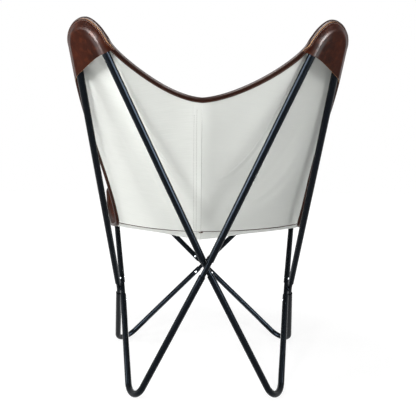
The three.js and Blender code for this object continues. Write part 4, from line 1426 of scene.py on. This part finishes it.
class Pocket:
    """Shell sewn behind a corner of the sling: grids of its inside and outside, from hem to middle."""

    ROWS = 20, 50, 20  # along the side leg, round the bend and along the rim
    STEPS = 44  # from the hem to the middle
    CROWD = 1.25  # power that crowds the steps towards the hem
    LEG = 140  # length of the legs that it is pulled over, in millimetres
    GLOSS = 0.62, 0.24  # share of the way round at which the gloss starts, and over which it grows
    HEM_GAP = 0.5  # between the binding and the hem, in millimetres
    HEM_EASE = 3  # from the flat hem to where the leather has its own slope, in millimetres
    SNUG = 0.5  # between the tube and the leather that is pulled over it, in millimetres
    SLACK = 0.3, 1.1  # radii from the tube's middle to where the leather slackens, and over which it does
    TOP = 0.85  # share of the way from the hem to the middle at which the dome levels out
    SWELL_PASSES, EVEN_PASSES = 5, 3  # how often turns are rounded upwards, and neighbours evened out

    def __init__(self, sling, quarter):
        sizes = sling_sizes()
        wing = quarter.wing
        facing, bend = wing.facing, wing.bend
        mouth, bend_at, hem = (wing.place(r) for r in (MOUTH_ROW, BEND_ROW, HEM_ROW))
        mouth, hem = mouth - sizes.pocket_side, hem + sizes.pocket_rim
        inner_leg = wing.place(RIM_ROW - 1)
        places = runs((mouth, bend_at, inner_leg, hem), self.ROWS)
        points, normals, inside = edge_values(quarter, places)
        self.line = EdgeLine(points, normals).facing_out(inside)
        height = sling.rear_face - sizes.binding_leather - self.HEM_GAP * MM
        start = self.line.offset(-sizes.pocket_inset, height)
        crown = bend.point(0.5, sizes.pocket_crown)
        across = unit(points[-1] - points[0])
        mouth_middle = points[0] + across * ((crown - points[0]) @ across) - facing * sizes.edge_rise
        scoop = unit(crown - mouth_middle) * sizes.pocket_scoop
        mouth_middle = mouth_middle + scoop
        below = np.maximum((bend_at - places) / (bend_at - mouth), (places - inner_leg) / (hem - inner_leg))
        below = np.maximum(below, 0)
        heart = lerp(crown, mouth_middle, smooth(below)[:, None] * 0.5 + below[:, None] * 0.5)
        share = np.linspace(0, 1, self.STEPS + 1) ** self.CROWD
        level = heart - start
        level = level - facing * (level @ facing)[:, None]
        flat = start[:, None] + level[:, None] * share[None, :, None]
        flat = flat + scoop * (below[:, None] * (share - share**2))[..., None]
        low = (flat - bend.centre) @ facing
        flat = flat - facing * low[..., None]
        heights = self.pulled(flat, -low[:, 0], self.tube_path(bend))
        self.inside = flat - facing * heights[..., None]
        gloss_start, gloss_growth = self.GLOSS
        way_round = np.linspace(0, 1, len(places))
        self.taut = self.taut * smooth((way_round - gloss_start) / gloss_growth)[:, None]
        around = np.gradient(self.inside, axis=0)
        inward = np.gradient(self.inside, axis=1)
        normals = unit(np.cross(around, inward))
        self.outward = np.where((normals @ facing)[..., None] > 0, -normals, normals)
        reach = lengths_along(flat.swapaxes(0, 1)).T
        flat_hem = (1 - smooth((reach - sizes.pocket_hem) / (self.HEM_EASE * MM)))[..., None]
        self.outward = unit(lerp(self.outward, -self.line.normals[:, None], flat_hem))
        top = smooth((share - self.TOP) / (1 - self.TOP))[None, :, None]
        self.outward = unit(lerp(self.outward, -facing, top))
        self.outside = self.inside + self.outward * sizes.pocket_leather

    def tube_path(self, bend):
        """Points along the middle of the tube, down both legs."""
        down = np.linspace(self.LEG * MM, 0, 60)[:, None]
        first = bend.point(0) + unit(bend.first - bend.point(0)) * down
        second = bend.point(1) + unit(bend.second - bend.point(1)) * down[::-1]
        return np.vstack((first, bend.point(np.linspace(0, 1, 80)), second))

    def pulled(self, flat, starts, path):
        """Heights of the leather's inside over the bend's plane, pulled tight from the hem over the tube."""
        sizes = sling_sizes()
        snug = frame_sizes().tube / 2 + self.SNUG * MM
        slack_start, slack_growth = self.SLACK
        made, near = [], []
        for row, start in zip(flat, starts):
            away = np.linalg.norm(row[:, None] - path[None], axis=-1).min(axis=1)
            near.append(1 - smooth((away / snug - slack_start) / slack_growth))
            reach = lengths_along(row)
            need = np.where(away < snug, np.sqrt(np.maximum(snug**2 - away**2, 0)), start)
            need = np.maximum(need, start)
            need[-1] = snug - sizes.pocket_dip
            on_hem = reach < sizes.pocket_hem
            need[on_hem] = start
            first = max(int(on_hem.sum()) - 1, 0)
            line = need.copy()
            line[first:] = taut(reach[first:], need[first:])
            made.append(line)
        self.taut = np.array(near)
        heights = np.array(made)
        for _ in range(self.SWELL_PASSES):
            heights = np.maximum(heights, softened(heights.T, 1).T)
        return softened(heights, self.EVEN_PASSES)

    def piece(self, name, hand):
        """The closed pocket for one side of the chair, with raw leather along its hem and its mouth."""
        first_row, last_row, hem, _ = grid_outline(*self.inside.shape[:2])
        cuts = hem, first_row, last_row
        points, faces = two_grids(self.inside, self.outside, cuts)
        raw = sum(len(line) - 1 for line in cuts)
        slots = [0] * (len(faces) - raw) + [1] * raw
        finish = [once(waxed_leather), once(raw_leather_edge)]
        taut_at = self.taut, self.taut
        return closed_piece(name, points * (hand, 1, 1), faces, finish, slots, taut_at=taut_at)


def add_pockets():
    sling = the_sling()
    for part, quarter in (("back", sling.back), ("front", sling.seat)):
        pocket = Pocket(sling, quarter)
        for side, hand in SIDES.items():
            piece = pocket.piece(f"corner_pocket_{part}_{side}", hand)
            keep(piece, "leather", f"pocket_{part}_{side}")


SHORT_STRIP = 4  # a strip that is shorter than so many times the distance isn't sewn


def offset_line(quarter, distance, height, seam):
    """A line on the cloth at a distance from the centre seam or from the fold seam."""
    measure = quarter.from_seam() if seam else quarter.from_fold()
    places = quarter.points + quarter.normals * height
    line = []
    lines = zip(measure, places) if seam else zip(measure.T, places.swapaxes(0, 1))
    for away, points in lines:
        if away[-1] > SHORT_STRIP * distance:
            line.append([np.interp(distance, away, column) for column in points.T])
    return np.array(line)


def stitch_lines():
    """Every row of stitches, for the whole chair, by the slot of what it is sewn on."""
    sling, sizes = the_sling(), sling_sizes()
    proud, sunk, lap_margin = 0.15 * MM, 0.2 * MM, 2 * MM
    fell_margins, beside_seam, beside_fold = (9 * MM, 2 * MM), 4 * MM, 5 * MM
    lining_rows, leather_rows = [], []
    for quarter in (sling.back, sling.seat):
        for away in (sizes.fell - margin for margin in fell_margins):
            lining_rows.append(offset_line(quarter, away, sling.rear_face - sizes.fell_rise - proud, True))
        for hand in SIDES.values():
            for away, seam in ((beside_seam, True), (beside_fold, False)):
                row = offset_line(quarter, away, sling.front_face + proud, seam)
                leather_rows.append(row * (hand, 1, 1))
    lap = sizes.binding - lap_margin
    heights = (
        sling.front_face + sizes.binding_leather - sunk,
        sling.rear_face - sizes.binding_leather + sunk,
    )
    side = side_line(sling)
    for height in heights:
        leather_rows += [side.offset(-lap, height), side.offset(-lap, height) * MIRROR]
        leather_rows += [rim_line(quarter).offset(-lap, height) for quarter in (sling.back, sling.seat)]
    for quarter in (sling.back, sling.seat):
        pocket = Pocket(sling, quarter)
        away = lengths_along(pocket.outside.swapaxes(0, 1)).T
        row = [
            [np.interp(sizes.pocket_stitch, a, column) for column in (points + normals * proud).T]
            for a, points, normals in zip(away, pocket.outside, pocket.outward)
        ]
        leather_rows += [np.array(row), np.array(row) * MIRROR]
    return {"lining": map(slipped, lining_rows), "leather": map(slipped, leather_rows)}


def add_stitches():
    sizes = sling_sizes()
    tree = stitch_tree()
    for kind, rows in stitch_lines().items():
        values = {
            "Thread": sizes.thread,
            "Stitch": sizes.stitch,
            "Pitch": sizes.stitch_pitch,
            "Finish": once(waxed_thread if kind == "leather" else cotton_thread),
        }
        name = f"{kind}_stitches"
        made = grown(name, polyline_mesh(name, rows), tree, values)
        keep(shown_object(name, made), "leather" if kind == "leather" else "canvas")


# Stage


def add_light(name, place, aim, width, height, watts, gloss_only=False):
    light = bpy.data.lights.new(name, "AREA")
    light.shape = "RECTANGLE"
    light.size = width
    light.size_y = height
    light.energy = watts
    lamp = bpy.data.objects.new(name, light)
    lamp.location = place
    lamp.visible_diffuse = not gloss_only
    lamp.visible_camera = False
    lamp.rotation_mode = "QUATERNION"
    lamp.rotation_quaternion = (Vector(aim) - Vector(place)).to_track_quat("-Z", "Y")
    bpy.context.scene.collection.objects.link(lamp)


def seen_directly(tree):
    """1 for the camera's rays and for mirrored or refracted ones, else 0."""
    path = add(tree, "ShaderNodeLightPath")
    mirrored = add(
        tree,
        "ShaderNodeMath",
        {0: path["Is Glossy Ray"], 1: path["Is Transmission Ray"]},
        operation="MAXIMUM",
    )
    return add(
        tree, "ShaderNodeMath", {0: path["Is Camera Ray"], 1: mirrored[0]}, operation="MAXIMUM"
    )[0]


def add_sky():
    world = bpy.data.worlds.new("studio")
    bpy.context.scene.world = world
    world.use_nodes = True
    tree = world.node_tree
    strength = add(
        tree,
        "ShaderNodeMapRange",
        {"Value": seen_directly(tree), "To Min": stage_settings().sky, "To Max": 1.0},
    )
    plug(tree, tree.nodes["Background"], {"Color": (1, 1, 1, 1), "Strength": strength[0]})


def floor_paint():
    """Matt white studio floor: the camera sees it white, with a share of its own shade near the chair."""
    stage = stage_settings()
    shade_reach, shade_end = 0.45, 1.1
    made, tree, shader = material("studio floor")
    plug(tree, shader, {"Base Color": finishes().floor, "Roughness": 0.9, "Specular IOR Level": 0})
    white = add(tree, "ShaderNodeEmission", {"Color": (1, 1, 1, 1), "Strength": stage.floor})
    place = add(tree, "ShaderNodeTexCoord")["Object"]
    away = add(tree, "ShaderNodeVectorMath", {0: place}, operation="LENGTH")["Value"]
    white_share = add(
        tree,
        "ShaderNodeMapRange",
        {
            "Value": away,
            "From Min": shade_reach,
            "From Max": shade_end,
            "To Min": 1 - stage.shadow,
            "To Max": 1.0,
        },
        interpolation_type="SMOOTHSTEP",
    )
    share = add(
        tree, "ShaderNodeMath", {0: seen_directly(tree), 1: white_share[0]}, operation="MULTIPLY"
    )
    mixed = add(tree, "ShaderNodeMixShader", {0: share[0], 1: shader.outputs[0], 2: white[0]})
    plug(tree, tree.nodes["Material Output"], {"Surface": mixed[0]})
    return made


def add_floor():
    half, below = 6, 0.0003
    mesh = bpy.data.meshes.new("floor")
    corners = [(-half, -half, -below), (half, -half, -below), (half, half, -below), (-half, half, -below)]
    mesh.from_pydata(corners, [], [(0, 1, 2, 3)])
    mesh.materials.append(floor_paint())
    shown_object("floor", mesh)


def add_camera():
    level, tilt = math.cos(CAMERA_PITCH), math.sin(CAMERA_PITCH)
    ahead = Vector((math.sin(CAMERA_YAW) * level, -math.cos(CAMERA_YAW) * level, tilt))
    right = ahead.cross(Vector((0, 0, 1))).normalized()
    up = right.cross(ahead)
    cosine, sine = math.cos(CAMERA_ROLL), math.sin(CAMERA_ROLL)
    right, up = right * cosine + up * sine, up * cosine - right * sine
    lens = bpy.data.cameras.new("camera")
    lens.sensor_width = SENSOR_MM
    lens.lens = SENSOR_MM * CAMERA_FOCAL_PX / IMAGE_PX
    camera = bpy.data.objects.new("camera", lens)
    turn = Matrix((right, up, -ahead)).transposed()
    camera.matrix_world = Matrix.Translation(CAMERA_PLACE) @ turn.to_4x4()
    bpy.context.scene.collection.objects.link(camera)
    bpy.context.scene.camera = camera


def add_stage():
    stage = stage_settings()
    bpy.context.scene.view_settings.view_transform = "Standard"
    add_camera()
    add_sky()
    add_floor()
    middle = (0, 0, 0.5)
    for name, hand, watts in (("key", 1, stage.key), ("fill", -1, stage.fill)):
        add_light(name, (0.8 * hand, 2.05, 1.35), middle, 0.3, 0.3, watts)
        add_light(f"{name}_card", (1.5 * hand, 1.2, 0.95), middle, 1.0, 1.3, stage.card, gloss_only=True)
    add_light("side", (1.85, 0.5, 0.9), (0.2, 0.2, 0.6), 0.5, 0.7, stage.side)
    add_light("top", (0, 0.9, 2.4), middle, 0.7, 0.7, stage.top)
    add_light("front", (0.6, -2.0, 1.6), middle, 1.4, 1.4, stage.front)
    add_light("board", (0, -0.2, 0.02), (0, -0.1, 0.4), 0.35, 0.35, stage.board)


# Operators and panel


class CHAIR_OT_tubes(bpy.types.Operator):
    """Bends the eight tubes of the frame"""

    bl_idname = "chair.tubes"
    bl_label = "Tubes"

    def execute(self, context):
        add_tubes()
        return {"FINISHED"}


class CHAIR_OT_hubs(bpy.types.Operator):
    """Welds the four hubs"""

    bl_idname = "chair.hubs"
    bl_label = "Hubs"

    def execute(self, context):
        add_hubs()
        return {"FINISHED"}


class CHAIR_OT_screws(bpy.types.Operator):
    """Sets a screw in each leg's end"""

    bl_idname = "chair.screws"
    bl_label = "Screws"

    def execute(self, context):
        add_screws()
        return {"FINISHED"}


class CHAIR_OT_leather(bpy.types.Operator):
    """Hangs the four leather panels"""

    bl_idname = "chair.leather"
    bl_label = "Leather"

    def execute(self, context):
        add_leather()
        return {"FINISHED"}


class CHAIR_OT_lining(bpy.types.Operator):
    """Lines the leather with four canvas panels"""

    bl_idname = "chair.lining"
    bl_label = "Lining"

    def execute(self, context):
        add_lining()
        return {"FINISHED"}


class CHAIR_OT_binding(bpy.types.Operator):
    """Folds the binding over the sling's edge"""

    bl_idname = "chair.binding"
    bl_label = "Binding"

    def execute(self, context):
        add_binding()
        return {"FINISHED"}


class CHAIR_OT_pockets(bpy.types.Operator):
    """Sews a pocket behind each corner"""

    bl_idname = "chair.pockets"
    bl_label = "Pockets"

    def execute(self, context):
        add_pockets()
        return {"FINISHED"}


class CHAIR_OT_stitches(bpy.types.Operator):
    """Stitches the seams, the binding and the pockets"""

    bl_idname = "chair.stitches"
    bl_label = "Stitches"

    def execute(self, context):
        add_stitches()
        return {"FINISHED"}


class CHAIR_OT_stage(bpy.types.Operator):
    """Sets up the floor, the lights and the camera"""

    bl_idname = "chair.stage"
    bl_label = "Stage"

    def execute(self, context):
        add_stage()
        return {"FINISHED"}


OPERATORS = (
    CHAIR_OT_stage,
    CHAIR_OT_tubes,
    CHAIR_OT_hubs,
    CHAIR_OT_screws,
    CHAIR_OT_leather,
    CHAIR_OT_lining,
    CHAIR_OT_binding,
    CHAIR_OT_pockets,
    CHAIR_OT_stitches,
)


class CHAIR_PT_sidebar(bpy.types.Panel):
    """Lists the chair's sizes, finishes and steps"""

    bl_label = "Butterfly sling chair"
    bl_idname = "CHAIR_PT_sidebar"
    bl_space_type = "VIEW_3D"
    bl_region_type = "UI"
    bl_category = "Chair"

    def draw(self, context):
        for group in SETTINGS:
            column = self.layout.column()
            for key in SETTINGS[group].__annotations__:
                column.prop(getattr(context.scene, group), key)
        for operator in OPERATORS:
            self.layout.operator(operator.bl_idname)


SETTINGS = {
    "chair_frame": ChairFrameSizes,
    "chair_sling": ChairSlingSizes,
    "chair_finishes": ChairFinishes,
    "chair_stage": ChairStageSettings,
}


def register():
    for group, kind in SETTINGS.items():
        bpy.utils.register_class(kind)
        setattr(bpy.types.Scene, group, bpy.props.PointerProperty(type=kind))
    for kind in (*OPERATORS, CHAIR_PT_sidebar):
        bpy.utils.register_class(kind)


def unregister():
    for kind in (CHAIR_PT_sidebar, *OPERATORS[::-1]):
        bpy.utils.unregister_class(kind)
    for group, kind in SETTINGS.items():
        delattr(bpy.types.Scene, group)
        bpy.utils.unregister_class(kind)


def main():
    register()
    for operator in OPERATORS:
        getattr(bpy.ops.chair, operator.bl_idname.split(".")[1])()


if __name__ == "__main__":
    main()
